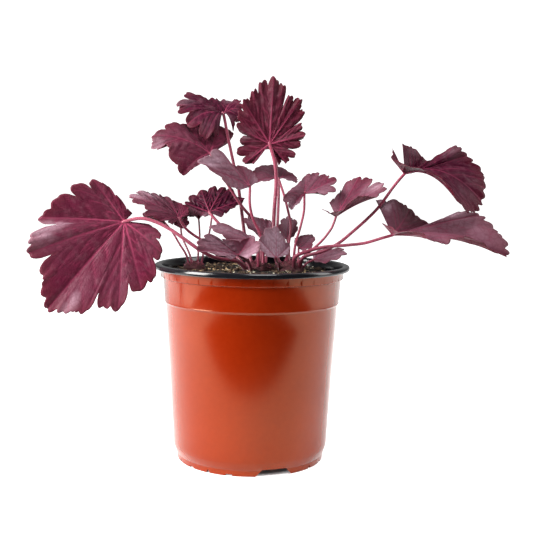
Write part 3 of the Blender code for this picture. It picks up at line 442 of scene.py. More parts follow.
def place(point):
    """Carries a table point (x, z, depth) along its line of sight to its true place, in metres."""
    x, z, depth = point[:3]
    share = (depth - EYE.y) / -EYE.y
    return Vector((EYE.x + (x - EYE.x) * share, depth, EYE.z + (z - EYE.z) * share)) * MM


def curve_through(values, positions):
    """Catmull-Rom curve through the rows of values, read at many positions at once."""
    values = np.asarray(values, float)
    padded = np.vstack([2 * values[0] - values[1], values, 2 * values[-1] - values[-2]])
    i = np.clip(positions.astype(int), 0, len(values) - 2)
    t = (positions - i)[:, None]
    before, a, b, after = padded[i], padded[i + 1], padded[i + 2], padded[i + 3]
    return 0.5 * (2 * a + (b - before) * t + (2 * before - 5 * a + 4 * b - after) * t ** 2
                  + (3 * a - before - 3 * b + after) * t ** 3)


def on_circle(radius, angle):
    return radius * math.cos(angle), radius * math.sin(angle)


def deselect_all():
    bpy.ops.object.select_all(action="DESELECT")


def only(thing):
    deselect_all()
    thing.select_set(True)
    bpy.context.view_layer.objects.active = thing
    return thing


def joined(name, things):
    """Joins several objects in one that sits at the origin."""
    deselect_all()
    for thing in things:
        thing.select_set(True)
    bpy.context.view_layer.objects.active = things[0]
    bpy.ops.object.join()
    whole = bpy.context.view_layer.objects.active
    bpy.ops.object.transform_apply(location=True, rotation=True, scale=True)
    whole.name = name
    whole.data.name = name
    return whole


def finish_piece(piece, nodes=()):
    piece.data.transform(Matrix.Translation(FRAME_SHIFT))
    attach(piece, "root")
    if nodes:
        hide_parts(*nodes)


def combine(body, operation, things):
    """Cuts things out of a body, or adds them to it."""
    whole = joined("tools", things)
    modifier = body.modifiers.new("Combine", "BOOLEAN")
    modifier.operation = operation
    modifier.solver = "EXACT"
    modifier.object = whole
    only(body)
    bpy.ops.object.modifier_apply(modifier=modifier.name)
    bpy.data.objects.remove(whole)


# Shader helpers


def new_material(name):
    material = bpy.data.materials.new(name)
    material.use_nodes = True
    return material, material.node_tree.nodes, material.node_tree.links


def add_node(nodes, kind, **values):
    """A new node with some sockets set. An underscore stands for a space in a socket's name."""
    node = nodes.new(kind)
    for name, value in values.items():
        node.inputs[name.replace("_", " ")].default_value = value
    return node


def set_or_link(links, socket, value):
    """Gives a socket a number or a colour, or links another socket to it."""
    if isinstance(value, (int, float)):
        socket.default_value = value
    elif isinstance(value, tuple):
        socket.default_value = (*value, 1)
    else:
        links.new(value, socket)


def object_place(nodes):
    return nodes.new("ShaderNodeTexCoord").outputs["Object"]


def read_attribute(nodes, name):
    node = nodes.new("ShaderNodeAttribute")
    node.attribute_name = name
    return node.outputs["Fac"]


def mixed(nodes, links, factor, first, second):
    """Colour mix of two sockets or colours. The factor is a socket or a number."""
    node = nodes.new("ShaderNodeMix")
    node.data_type = "RGBA"
    set_or_link(links, node.inputs[0], factor)
    set_or_link(links, node.inputs[6], first)
    set_or_link(links, node.inputs[7], second)
    return node.outputs[2]


def multiplied(nodes, links, first, second):
    node = nodes.new("ShaderNodeMath")
    node.operation = "MULTIPLY"
    set_or_link(links, node.inputs[0], first)
    set_or_link(links, node.inputs[1], second)
    return node.outputs[0]


def remapped(nodes, links, value, source, target):
    node = add_node(nodes, "ShaderNodeMapRange", From_Min=source[0], From_Max=source[1],
                    To_Min=target[0], To_Max=target[1])
    links.new(value, node.inputs["Value"])
    return node.outputs["Result"]


def ramped(nodes, links, value, *stops):
    """Grey ramp over a value. Each stop is its place and its brightness."""
    node = nodes.new("ShaderNodeValToRGB")
    elements = node.color_ramp.elements
    elements[0].position = stops[0][0]
    elements[1].position = stops[-1][0]
    chosen = [elements[0], elements[1]]
    for element, (_, grey) in zip(chosen, (stops[0], stops[-1])):
        element.color = (grey, grey, grey, 1)
    for position, grey in stops[1:-1]:
        elements.new(position).color = (grey, grey, grey, 1)
    links.new(value, node.inputs["Fac"])
    return node.outputs["Color"]


def bumped(nodes, links, height, strength, distance):
    node = add_node(nodes, "ShaderNodeBump", Strength=strength, Distance=distance)
    links.new(height, node.inputs["Height"])
    links.new(node.outputs["Normal"], nodes["Principled BSDF"].inputs["Normal"])


def mottle_group():
    """Cloudy two-scale mask over Object coordinates, for leaves, plastic and mix alike."""
    group = bpy.data.node_groups.new("mottle", "ShaderNodeTree")
    for name, way in (("Coarse", "INPUT"), ("Fine", "INPUT"), ("Mask", "OUTPUT")):
        group.interface.new_socket(name, in_out=way, socket_type="NodeSocketFloat")
    nodes, links = group.nodes, group.links
    inputs = nodes.new("NodeGroupInput")
    outputs = nodes.new("NodeGroupOutput")
    where = object_place(nodes)
    blend = nodes.new("ShaderNodeMix")
    blend.inputs[0].default_value = 0.4
    for slot, (socket, detail) in enumerate((("Coarse", 3.0), ("Fine", 5.0)), 2):
        cloud = add_node(nodes, "ShaderNodeTexNoise", Detail=detail)
        links.new(where, cloud.inputs["Vector"])
        links.new(inputs.outputs[socket], cloud.inputs["Scale"])
        links.new(cloud.outputs["Fac"], blend.inputs[slot])
    mask = remapped(nodes, links, blend.outputs[0], (0.32, 0.68), (0.0, 1.0))
    links.new(mask, outputs.inputs["Mask"])
    return group


def add_mottle(nodes, group, coarse, fine):
    node = nodes.new("ShaderNodeGroup")
    node.node_tree = group
    node.inputs["Coarse"].default_value = coarse
    node.inputs["Fine"].default_value = fine
    return node.outputs["Mask"]


# Materials


def leaf_material(group):
    """Maroon above and rosier below, with lilac tone that carries painted light, painted sheen
    patches, painted shade on shaded leaves and in the vein creases, pink veins and darker edges.
    """
    material, nodes, links = new_material("heuchera_leaf")
    shader = nodes["Principled BSDF"]
    shade = LEAF_COLOURS
    lilac, dark, vein, reach, upper = [read_attribute(nodes, name) for name in
                                       ("lilac", "dark", "vein", "reach", "upper")]
    mask = add_mottle(nodes, group, 60.0, 420.0)
    where = object_place(nodes)
    # The lilac attribute carries the leaf's own lilac tone and painted light.
    above = mixed(nodes, links, lilac, shade["maroon"], shade["bloom_and_light"])
    below = mixed(nodes, links, lilac, shade["rosy"], shade["rosy_bloom_and_light"])
    skin = mixed(nodes, links, upper, below, above)
    # Painted shade: each leaf's darkness darkens it towards this colour where it sits in shade.
    skin = mixed(nodes, links, dark, skin, shade["painted_shade"])
    stained = mixed(nodes, links, 0.5, skin, shade["stain"])
    skin = mixed(nodes, links, multiplied(nodes, links, mask, 0.55), skin, stained)
    # Painted sheen: pale patches laid at random stand in for the leaves' soft sheen.
    cloud = add_node(nodes, "ShaderNodeTexNoise", Scale=170.0, Detail=5.0)
    links.new(where, cloud.inputs["Vector"])
    painted_sheen = ramped(nodes, links, cloud.outputs["Fac"], (0.48, 0.0), (0.72, 0.22))
    skin = mixed(nodes, links, painted_sheen, skin, shade["painted_sheen"])
    net = add_node(nodes, "ShaderNodeTexVoronoi", Scale=170.0)
    net.feature = "DISTANCE_TO_EDGE"
    links.new(where, net.inputs["Vector"])
    meshes = ramped(nodes, links, net.outputs["Distance"], (0.0, 0.24), (0.12, 0.0))
    skin = mixed(nodes, links, meshes, skin, shade["net"])
    rim = ramped(nodes, links, reach, (0.80, 0.0), (1.0, 1.0))
    skin = mixed(nodes, links, multiplied(nodes, links, rim, 0.45), skin, shade["rim"])
    # Painted shade: the veins are darkened where the blade creases along them.
    skin = mixed(nodes, links, multiplied(nodes, links, vein, 0.35), skin, shade["crease_shade"])
    fading = ramped(nodes, links, reach, (0.0, 1.0), (0.25, 0.60), (0.7, 0.28))
    pink = multiplied(nodes, links, multiplied(nodes, links, vein, fading), 0.9)
    skin = mixed(nodes, links, pink, skin, shade["vein"])
    links.new(skin, shader.inputs["Base Color"])
    links.new(ramped(nodes, links, mask, (0.0, 0.36), (1.0, 0.52)), shader.inputs["Roughness"])
    shader.inputs["Specular IOR Level"].default_value = 0.08
    grain = add_node(nodes, "ShaderNodeTexVoronoi", Scale=900.0)
    links.new(where, grain.inputs["Vector"])
    bumped(nodes, links, grain.outputs["Distance"], 0.35, 0.0004)
    return material


def stalk_material(group):
    """Dark red at the foot and pinker towards the blade."""
    material, nodes, links = new_material("red_stalk")
    shader = nodes["Principled BSDF"]
    mask = add_mottle(nodes, group, 90.0, 700.0)
    lower = mixed(nodes, links, mask, *STALK_FOOT_COLOURS)
    higher = mixed(nodes, links, mask, *STALK_TOP_COLOURS)
    along = read_attribute(nodes, "reach")
    links.new(mixed(nodes, links, along, lower, higher), shader.inputs["Base Color"])
    shader.inputs["Roughness"].default_value = 0.42
    shader.inputs["Sheen Weight"].default_value = 0.2
    bumped(nodes, links, mask, 0.3, 0.0004)
    return material


def hair_material():
    material, nodes, _ = new_material("pale_hair")
    shader = nodes["Principled BSDF"]
    shader.inputs["Base Color"].default_value = (*HAIR_COLOUR, 1)
    shader.inputs["Roughness"].default_value = 0.5
    return material


def plastic_material(name, group, scales, colours, specular):
    """Smooth plastic with a faint mottle. The mask is returned for further use."""
    material, nodes, links = new_material(name)
    shader = nodes["Principled BSDF"]
    mask = add_mottle(nodes, group, *scales)
    links.new(mixed(nodes, links, mask, *colours), shader.inputs["Base Color"])
    shader.inputs["Roughness"].default_value = 0.16
    shader.inputs["Specular IOR Level"].default_value = specular
    bumped(nodes, links, mask, 0.05, 0.0003)
    return material, mask


def terracotta_material(group):
    """Warm glossy plastic, a little rougher where its mottle is strong."""
    material, mask = plastic_material("terracotta_skin", group, (22.0, 260.0),
                                      TERRACOTTA_COLOURS, 0.50)
    nodes, links = material.node_tree.nodes, material.node_tree.links
    shader = nodes["Principled BSDF"]
    shader.inputs["Specular Tint"].default_value = (*TERRACOTTA_SHINE, 1)
    links.new(ramped(nodes, links, mask, (0.0, 0.16), (1.0, 0.22)), shader.inputs["Roughness"])
    return material


def earth_material(name, group):
    """One of the rough natural skins of the table."""
    dark, pale, scale, roughness = EARTHS[name]
    material, nodes, links = new_material(name)
    shader = nodes["Principled BSDF"]
    mask = add_mottle(nodes, group, scale, scale * 5)
    links.new(mixed(nodes, links, mask, dark, pale), shader.inputs["Base Color"])
    shader.inputs["Roughness"].default_value = roughness
    bumped(nodes, links, mask, 0.6, 0.0012)
    return material


# Leaves


def lobed_edge(leaf, across, cut):
    """How far the blade's edge stands out at each place round it: lobes, notches and teeth."""
    lobes = len(leaf["tips"]) - 1
    notch = np.array([row[3] for row in leaf["tips"]])
    lobe = np.clip(across.astype(int), 0, lobes - 1)
    turn = across - lobe
    off = np.abs(turn - np.round(turn)) * 2
    round_lobe = 1 - np.sqrt(np.clip(1 - off ** 2, 0, 1))
    edge = LOBE_REACH - np.minimum(notch[lobe] * cut, DEEPEST_NOTCH) * round_lobe
    teeth = 0.006 + 0.007 * leaf["ruffle"]
    return edge + teeth * 2 * (np.abs(np.cos(2 * np.pi * across + 1.3 * np.sin(across))) - 1)


def between_veins(across, veins, lobes):
    """Which gap between main veins each place lies in, and how far across that gap."""
    stations = np.array([-1.0] + [float(v) for v in veins] + [lobes + 1.0])
    gap = np.searchsorted(stations, across, side="right") - 1
    gap = np.clip(gap, 0, len(stations) - 2)
    return gap, (across - stations[gap]) / (stations[gap + 1] - stations[gap])


def ruffled(across, share, within, relief, ruffle, quilt):
    """Lift of the blade: an arch between veins, waves and ripples at the edge, and pillows."""
    arch = np.sin(np.pi * within)[None] - 0.5
    wave = -np.cos(2 * np.pi * across)[None]
    ripple = np.sin(3.1 * np.pi * across + 3 * np.sin(across * 1.7))[None]
    curl = ruffle * MM
    lift = (0.5 * MM + 0.45 * curl) * arch * share ** 1.2
    lift = lift + curl * (0.55 * wave * share ** 5 + 0.35 * ripple * share ** 6)
    return lift + PILLOW_HEIGHT * quilt * MM * relief


def lilac_and_painted_light(across, share, gap, within, relief, pale):
    """How much lilac lies on the blade: by pillow, by painted light that is lighter on one side of
    each gap between veins and differs from gap to gap, and by painted light at the pale spots.
    """
    # Painted light: each gap between veins is lighter on one side and darker on the other, and gaps
    # differ in brightness.
    tilt = np.where(gap % 2, 0.9, -0.9)
    sector_light = np.sin(2.3 * gap + 1.0) * 0.3 + (within - 0.5) * tilt
    bloom_and_light = np.clip(0.45 + 0.18 * relief + sector_light[None] * share + 0.25 * (share - 0.5), 0, 1)
    # Painted light: the pale spots are lit, curled lobes.
    for spot in pale:
        near = np.exp(-((across - spot) / LIT_SPOT_WIDTH) ** 2)[None]
        bloom_and_light = bloom_and_light + 1.2 * near * np.clip((share - 0.55) * 3, 0, 1)
    return bloom_and_light


def blade_surface(leaf, look):
    """Fine grid of the blade: points, their attributes, and the share of the way to the edge."""
    veins, _, _, quilt, cut, pale = look
    join = np.array(place(leaf["join"]))
    tips = np.array([place(tip) for tip in leaf["tips"]])
    lifts = np.array([[0, 0, row[4] * MM] for row in leaf["tips"]])
    mids = (join + tips) / 2 + lifts
    lobes = len(tips) - 1
    across = np.linspace(0, lobes, lobes * COLUMNS_PER_LOBE + 1)
    rings = np.linspace(0, 1, BLADE_RINGS + 1)[1:] ** 0.9
    r = (rings[:, None] * lobed_edge(leaf, across, cut)[None, :])[:, :, None]
    tip = curve_through(tips, across)
    mid = curve_through(mids, across)
    points = join * (1 - r) ** 2 + mid[None] * 2 * r * (1 - r) + tip[None] * r ** 2
    normal = surface_normals(points)
    if np.sum(normal.mean((0, 1)) * np.array(leaf["faces"])) < 0:
        normal = -normal
    share = rings[:, None] * np.ones(len(across))[None]
    wide = np.linalg.norm(np.gradient(points, axis=1), axis=2) * COLUMNS_PER_LOBE
    span = np.linalg.norm(points - join, axis=2)
    mask, relief = vein_pattern(share, across, wide, span, veins, lobes)
    gap, within = between_veins(across, veins, lobes)
    lift = ruffled(across, share, within, relief, leaf["ruffle"], quilt)
    points = points + normal * lift[:, :, None]
    return join, points, mask, share, lilac_and_painted_light(across, share, gap, within, relief, pale)


def surface_normals(points):
    radial = np.gradient(points, axis=0)
    around = np.gradient(points, axis=1)
    normal = np.cross(radial, around)
    length = np.linalg.norm(normal, axis=2, keepdims=True)
    return normal / np.maximum(length, 1e-12)


def vein_pattern(share, across, wide, span, veins, lobes):
    """Mask of the veins, and the relief of the pillows between them, over the blade."""
    mask = np.zeros_like(share)
    away = np.full_like(share, 9.0)
    ring = share[:, 0]

    def draw_vein(line, shown, width, strength):
        nonlocal mask, away
        gap = np.abs(across[None] - line[:, None]) * wide
        mask = np.maximum(mask, (strength * shown)[:, None]
                          * np.exp(-(gap / (width[:, None] * MM)) ** 2))
        away = np.minimum(away, gap / MM + 9 * (1 - np.clip(shown * 3, 0, 1))[:, None])

    broad = 0.4 + 0.6 * span.max() / (80 * MM)
    for count, main in enumerate(veins):
        draw_vein(np.full_like(ring, main), np.ones_like(ring), broad * (1.0 - 0.5 * ring), 1.0)
        column = int(round(main * COLUMNS_PER_LOBE))
        reach = span[:, column]
        per_lobe = np.maximum(wide[:, column], 1e-6)
        left = (main - veins[count - 1]) / 2 if count else main + 0.5
        right = (veins[count + 1] - main) / 2 if count + 1 < len(veins) else lobes - main + 0.5
        for step in range(SIDE_VEINS):
            for side, room in ((-1, left), (1, right)):
                start = 0.16 + 0.17 * step + (0.08 if side * (-1) ** count > 0 else 0)
                r0 = np.interp(start, ring, reach)
                bend = SIDE_VEIN_ANGLE - np.arcsin(
                    np.clip(math.sin(SIDE_VEIN_ANGLE) * r0 / np.maximum(reach, r0), 0, 1))
                offset = bend * reach / per_lobe
                shown = np.clip((room * 1.15 - offset) / (0.25 * room), 0, 1) * (ring >= start)
                draw_vein(main + side * offset, shown, broad * (0.7 - 0.25 * ring), 0.75)
    pillow = np.clip(away / PILLOW_WIDTH, 0, 1)
    pillow = pillow * pillow * (3 - 2 * pillow)
    fade = np.clip(share * 4, 0, 1) * np.clip((1.04 - share) * 6, 0, 1)
    return mask, (pillow - 0.5) * fade


class LeafMesh:
    """Gathers the points, faces and attributes of one leaf."""

    def __init__(self):
        self.points = []
        self.faces = []
        self.slots = []
        self.values = {"vein": [], "reach": [], "upper": [], "bloom_and_light": []}

    def add(self, points, faces, slot, vein, reach, upper, bloom_and_light=0.5):
        start = len(self.points)
        self.points += [tuple(point) for point in points]
        self.faces += [tuple(start + i for i in face) for face in faces]
        self.slots += [slot] * len(faces)
        for name, value in (("vein", vein), ("reach", reach), ("upper", upper), ("bloom_and_light", bloom_and_light)):
            filled = np.broadcast_to(np.asarray(value, float), (len(points),))
            self.values[name] += filled.tolist()

    def make(self, name, lilac_share, shade_darkness, materials):
        mesh = bpy.data.meshes.new(name)
        mesh.from_pydata(self.points, [], self.faces)
        for material in materials:
            mesh.materials.append(material)
        mesh.polygons.foreach_set("material_index", self.slots)
        mesh.polygons.foreach_set("use_smooth", [True] * len(self.faces))
        values = dict(self.values)
        bloom_and_light = np.array(values.pop("bloom_and_light"))
        # Past a full share, the pale spots add more painted light.
        painted_light_excess = np.maximum(bloom_and_light - 1, 0)
        values["lilac"] = np.clip(lilac_share * (0.11 + 0.69 * bloom_and_light) + 0.8 * painted_light_excess, 0, 1)
        # The dark attribute carries each leaf's painted shade.
        values["dark"] = [shade_darkness] * len(self.points)
        for attribute, data in values.items():
            layer = mesh.attributes.new(attribute, "FLOAT", "POINT")
            layer.data.foreach_set("value", np.array(data, np.float32))
        mesh.update()
        thing = bpy.data.objects.new(name, mesh)
        bpy.context.scene.collection.objects.link(thing)
        return thing


def add_blade(mesh, leaf, look):
    """Both faces of the blade and the narrow edge between them."""
    join, points, mask, share, bloom_and_light = blade_surface(leaf, look)
    normal = surface_normals(points)
    facing = np.sum(normal.mean((0, 1)) * np.array(leaf["faces"]))
    outward = 1 if facing > 0 else -1
    hub_normal = normal[0].mean(0)
    hub_normal = hub_normal / np.linalg.norm(hub_normal)
    rings, columns = share.shape
    half = BLADE_THICKNESS * MM / 2
    thin = (1 - EDGE_THINNING * share ** 6)[:, :, None]
    for side in (1, -1):
        ridge = 1 if side * outward > 0 else -1
        grid = points + normal * (side * half * thin)
        relief = VEIN_SINK if ridge > 0 else VEIN_RISE
        grid = grid + normal * (mask * side * relief * MM)[:, :, None]
        flat = np.vstack([grid.reshape(-1, 3), join + hub_normal * side * half])
        hub = rings * columns
        index = np.arange(rings * columns).reshape(rings, columns)
        faces = []
        for column in range(columns - 1):
            faces.append((hub, index[0, column], index[0, column + 1]))
        a, b = index[:-1, :-1].ravel(), index[1:, :-1].ravel()
        c, d = index[1:, 1:].ravel(), index[:-1, 1:].ravel()
        faces += list(zip(a.tolist(), b.tolist(), c.tolist(), d.tolist()))
        if side < 0:
            faces = [face[::-1] for face in faces]
        vein = np.append(mask.ravel(), 1.0)
        reach = np.append(share.ravel(), 0.0)
        start = len(mesh.points)
        mesh.add(flat, faces, 0, vein, reach, 1.0 if ridge > 0 else 0.0,
                 np.append(bloom_and_light.ravel(), 0.5))
        if side > 0:
            first = start
    border = [rings * columns] + [int(i) for i in index[:, 0]]
    border += [int(i) for i in index[-1, 1:-1]] + [int(i) for i in index[::-1, -1]]
    count = len(border)
    for i in range(count):
        p, q = border[i], border[(i + 1) % count]
        mesh.faces.append((first + q, first + p, start + p, start + q))
        mesh.slots.append(0)
    return points, normal


def stalk_points(leaf):
    """The stalk's middle line, from inside its crown to a little way into the blade."""
    x, y, _, top = CROWNS[leaf["crown"]]
    foot = Vector((x + leaf["foot"][0], y + leaf["foot"][1], top - FOOT_DEPTH)) * MM
    way = [foot] + [place(point) for point in leaf["stalk"]] + [place(leaf["join"])]
    middle = sum((place(tip) for tip in leaf["tips"]), Vector()) / len(leaf["tips"])
    way.append(way[-1] + (middle - way[-1]).normalized() * 2.0 * MM)
    lengths = [(b - a).length for a, b in zip(way, way[1:])]
    positions = []
    for i, length in enumerate(lengths):
        pieces = max(2, round(length / (STALK_STEP * MM)))
        positions += [i + k / pieces for k in range(pieces)]
    return curve_through(way, np.array(positions + [len(way) - 1.0]))


def tube_frames(points):
    """A side direction and its partner at each point, carried along without twist."""
    tangents = np.gradient(points, axis=0)
    tangents /= np.linalg.norm(tangents, axis=1, keepdims=True)
    side = np.cross(tangents[0], (0.3, 1.0, 0.1))
    sides = []
    for tangent in tangents:
        side = side - tangent * side.dot(tangent)
        side = side / np.linalg.norm(side)
        sides.append(side)
    sides = np.array(sides)
    return tangents, sides, np.cross(tangents, sides)


def add_tube(mesh, points, radii, slot, reach, sides=STALK_SIDES, groove=0.0):
    """A closed tube along points, with a shallow groove down its upper side."""
    _, first, second = tube_frames(points)
    angles = np.linspace(0, 2 * np.pi, sides, endpoint=False)
    rings = []
    for k, point in enumerate(points):
        shape = 1 - groove * np.exp(-((angles - np.pi / 2) / 0.5) ** 2)
        circle = np.outer(np.cos(angles) * shape, first[k]) + np.outer(np.sin(angles) * shape,
                                                                      second[k])
        rings.append(point + circle * radii[k])
    flat = np.vstack(rings + [points[:1], points[-1:]])
    faces = []
    for k in range(len(points) - 1):
        for i in range(sides):
            j = (i + 1) % sides
            a, b = k * sides, (k + 1) * sides
            faces.append((a + i, a + j, b + j, b + i))
    low, high = len(flat) - 2, len(flat) - 1
    last = (len(points) - 1) * sides
    for i in range(sides):
        j = (i + 1) % sides
        faces.append((low, j, i))
        faces.append((high, last + i, last + j))
    along = np.repeat(reach, sides)
    mesh.add(flat, faces, slot, 0.0, np.append(along, [reach[0], reach[-1]]), 1.0)


def add_hair(mesh, root, direction, length, width):
    """One three-sided hair that tapers to a point."""
    direction = direction / max(np.linalg.norm(direction), 1e-9)
    side = np.cross(direction, (0.31, 0.57, 0.76))
    side = side / max(np.linalg.norm(side), 1e-9)
    other = np.cross(direction, side)
    base = [root + width * (math.cos(a) * side + math.sin(a) * other)
            for a in (0.0, 2.094, 4.189)]
    bend = root + direction * length + side * length * 0.15
    mesh.add(base + [bend], [(0, 1, 3), (1, 2, 3), (2, 0, 3), (2, 1, 0)], 2, 0.0, 0.5, 1.0)


def add_hairs(mesh, blade, normal, stalk, radii, draw):
    """Short pale hairs down the stalk and round the edge of the blade."""
    tangents, first, second = tube_frames(stalk)
    for _ in range(len(stalk) * HAIRS_PER_STEP):
        k = draw.randrange(3, len(stalk) - 1)
        angle = draw.uniform(0, 2 * math.pi)
        out = math.cos(angle) * first[k] + math.sin(angle) * second[k]
        spot = stalk[k] + (stalk[k - 1] - stalk[k]) * draw.random() + out * radii[k] * 0.85
        out = out + tangents[k] * draw.uniform(-0.3, 0.5)
        add_hair(mesh, spot, out, draw.uniform(0.5, 1.1) * MM, 0.05 * MM)
    edge = blade[-1]
    outward = blade[-1] - blade[-3]
    for column in range(1, len(edge) - 1, 2):
        direction = outward[column] + normal[-1, column] * 0.0004 * draw.uniform(-1, 1)
        add_hair(mesh, edge[column] - outward[column] * 0.1, direction,
                 draw.uniform(0.4, 0.9) * MM, 0.045 * MM)


def build_leaf(name, leaf, materials):
    """One leaf: its blade, its stalk and the hairs on both."""
    look = LOOKS[name]
    draw = random.Random(name)
    mesh = LeafMesh()
    blade, normal = add_blade(mesh, leaf, look)
    stalk = stalk_points(leaf)
    along = np.linspace(0, 1, len(stalk))
    radii = leaf["radius"] * MM * (0.95 + 0.12 * (1 - along) + 0.25 * (1 - along) ** 4)
    radii[-1] *= 0.4
    radii[-2] *= 0.8
    add_tube(mesh, stalk, radii, 1, along, groove=STALK_GROOVE)
    add_hairs(mesh, blade, normal, stalk, radii, draw)
    piece = mesh.make(name.replace("leaf_", "") + "_leaf", look[1], look[2], materials)
    finish_piece(piece, (name,))


# Pot


def pot_outline():
    """Radius and height of the pot's skin, from the foot's inner edge out, up, over and down."""
    lip = POT_HEIGHT - LIP_HEIGHT
    return [
        (FOOT_RING_RADIUS - FOOT_RING_WIDTH, 0.0), (FOOT_RING_RADIUS - 0.5, 0.0),
        (FOOT_RING_RADIUS, 0.5), (FOOT_RING_RADIUS + 0.3, FOOT_RING_Z),
        (FOOT_RING_RADIUS + 0.8, FOOT_RING_Z + 0.6), (WALL_FOOT_RADIUS - 0.3, WALL_FOOT_Z - 0.9),
        (WALL_FOOT_RADIUS, WALL_FOOT_Z), (WALL_FOOT_RADIUS + 0.3, WALL_FOOT_Z + 4.0),
        (STEP_LOWER_RADIUS - 0.9, STEP_Z - 16.0), (STEP_LOWER_RADIUS - 0.05, STEP_Z - 1.4),
        (STEP_LOWER_RADIUS + 0.1, STEP_Z - 0.9), (STEP_UPPER_RADIUS - 0.1, STEP_Z + 0.1),
        (STEP_UPPER_RADIUS + 0.15, STEP_Z + 0.6), (STEP_UPPER_RADIUS, STEP_Z + 1.4),
        (SHOULDER_RADIUS - 0.1, SHOULDER_Z - 1.3), (SHOULDER_RADIUS, SHOULDER_Z - 0.8),
        (COLLAR_RADIUS - 0.2, SHOULDER_Z + 0.1), (COLLAR_RADIUS, SHOULDER_Z + 0.6),
        (COLLAR_RADIUS + 0.3, lip - 0.6), (COLLAR_RADIUS + 0.6, lip),
        (LIP_RADIUS - 0.7, lip), (LIP_RADIUS - 0.1, lip + 0.5), (LIP_RADIUS, lip + 1.2),
        (LIP_RADIUS - 0.1, POT_HEIGHT - 1.2), (LIP_RADIUS - 0.6, POT_HEIGHT - 0.4),
        (LIP_RADIUS - 1.6, POT_HEIGHT), (COLLAR_RADIUS + 0.6, POT_HEIGHT),
        (COLLAR_RADIUS - 0.5, POT_HEIGHT - 0.4), (COLLAR_RADIUS - WALL, POT_HEIGHT - 1.4),
        (COLLAR_RADIUS - WALL, SHOULDER_Z + 1.2), (SHOULDER_RADIUS - WALL, SHOULDER_Z),
        (STEP_UPPER_RADIUS - WALL, STEP_Z + 1.2), (STEP_LOWER_RADIUS - WALL, STEP_Z),
        (WALL_FOOT_RADIUS - WALL, WALL_FOOT_Z + 0.6), (FOOT_RING_RADIUS - 2.0, FLOOR_Z + WALL),
    ]


def wedge(angle, half_widths, height):
    """A cutter for one opening in the foot: a box whose top is drawn in."""
    bpy.ops.mesh.primitive_cube_add(size=1.0)
    cutter = bpy.context.active_object
    bpy.ops.object.mode_set(mode="EDIT")
    bpy.ops.mesh.select_all(action="SELECT")
    bpy.ops.transform.resize(value=(12 * MM, 2 * half_widths[0] * MM, (height + 1) * MM))
    bpy.ops.object.mode_set(mode="OBJECT")
    for part in (*cutter.data.vertices, *cutter.data.edges):
        part.select = False
    for polygon in cutter.data.polygons:
        polygon.select = polygon.normal.z > 0.5
    bpy.ops.object.mode_set(mode="EDIT")
    bpy.ops.transform.resize(value=(1, half_widths[1] / half_widths[0], 1))
    bpy.ops.object.mode_set(mode="OBJECT")
    cutter.location = (FOOT_RING_RADIUS * MM, 0, (height - 1) / 2 * MM)
    bpy.ops.object.transform_apply(location=True, rotation=False, scale=False)
    cutter.rotation_euler = (0, 0, math.radians(angle))
    bpy.ops.object.transform_apply(location=False, rotation=True, scale=False)
    return cutter


def raise_outline(outline, sides):
    """Draws a closed circle up along an outline by extruding and scaling its newest ring."""
    radius, z = outline[0]
    bpy.ops.mesh.primitive_circle_add(vertices=sides, radius=radius * MM, location=(0, 0, z * MM))
    body = bpy.context.active_object
    bpy.ops.object.transform_apply(location=True, rotation=False, scale=False)
    bpy.ops.object.mode_set(mode="EDIT")
    bpy.ops.mesh.select_all(action="SELECT")
    for (r0, z0), (r1, z1) in zip(outline, outline[1:]):
        bpy.ops.mesh.extrude_region_move(
            TRANSFORM_OT_translate={"value": (0, 0, (z1 - z0) * MM)})
        bpy.ops.transform.resize(value=(r1 / r0, r1 / r0, 1))
    return body


def close_foot(pot):
    """Sets the underside of the floor up inside the foot ring."""
    bm = bmesh.new()
    bm.from_mesh(pot.data)
    low = [edge for edge in bm.edges if edge.is_boundary]
    sunk = bmesh.ops.extrude_edge_only(bm, edges=low)["geom"]
    ring = [v for v in sunk if isinstance(v, bmesh.types.BMVert)]
    bmesh.ops.translate(bm, verts=ring, vec=(0, 0, FLOOR_Z * MM))
    last = [edge for edge in bm.edges if edge.is_boundary]
    bmesh.ops.contextual_create(bm, geom=last)
    bmesh.ops.recalc_face_normals(bm, faces=bm.faces)
    bm.to_mesh(pot.data)
    bm.free()


def foot_cutters():
    """Cutters for the arches and notches of the foot ring, and for the drain holes."""
    cutters = []
    for arch in ARCH_ANGLES:
        cutters.append(wedge(arch, ARCH_HALF_WIDTHS, ARCH_HEIGHT))
        for number, offset in enumerate(NOTCH_OFFSETS):
            if number % 2:
                cutters.append(wedge(arch + offset, LOW_NOTCH_HALF_WIDTHS, LOW_NOTCH_HEIGHT))
            else:
                cutters.append(wedge(arch + offset, NOTCH_HALF_WIDTHS, NOTCH_HEIGHT))
    for hole in range(DRAIN_HOLES):
        x, y = on_circle(DRAIN_RING, 2 * math.pi * hole / DRAIN_HOLES)
        bpy.ops.mesh.primitive_cylinder_add(vertices=32, radius=DRAIN_RADIUS * MM,
                                            depth=DRAIN_CUT * MM,
                                            location=(x * MM, y * MM, FLOOR_Z * MM))
        cutters.append(bpy.context.active_object)
    return cutters


def collar_ribs():
    """Short upright ribs round the collar, close under the lip."""
    ribs = []
    lip = POT_HEIGHT - LIP_HEIGHT
    for k in range(RIB_COUNT):
        angle = math.radians(-90 + RIB_PHASE + 360 * k / RIB_COUNT)
        bpy.ops.mesh.primitive_cube_add(size=1.0)
        rib = bpy.context.active_object
        rib.scale = Vector((RIB_DEPTH, RIB_WIDTH, lip - SHOULDER_Z + 0.2)) * MM
        rib.rotation_euler = (0, 0, angle)
        x, y = on_circle(COLLAR_RADIUS, angle)
        rib.location = Vector((x, y, (lip + SHOULDER_Z + 0.6) / 2)) * MM
        ribs.append(rib)
    return ribs


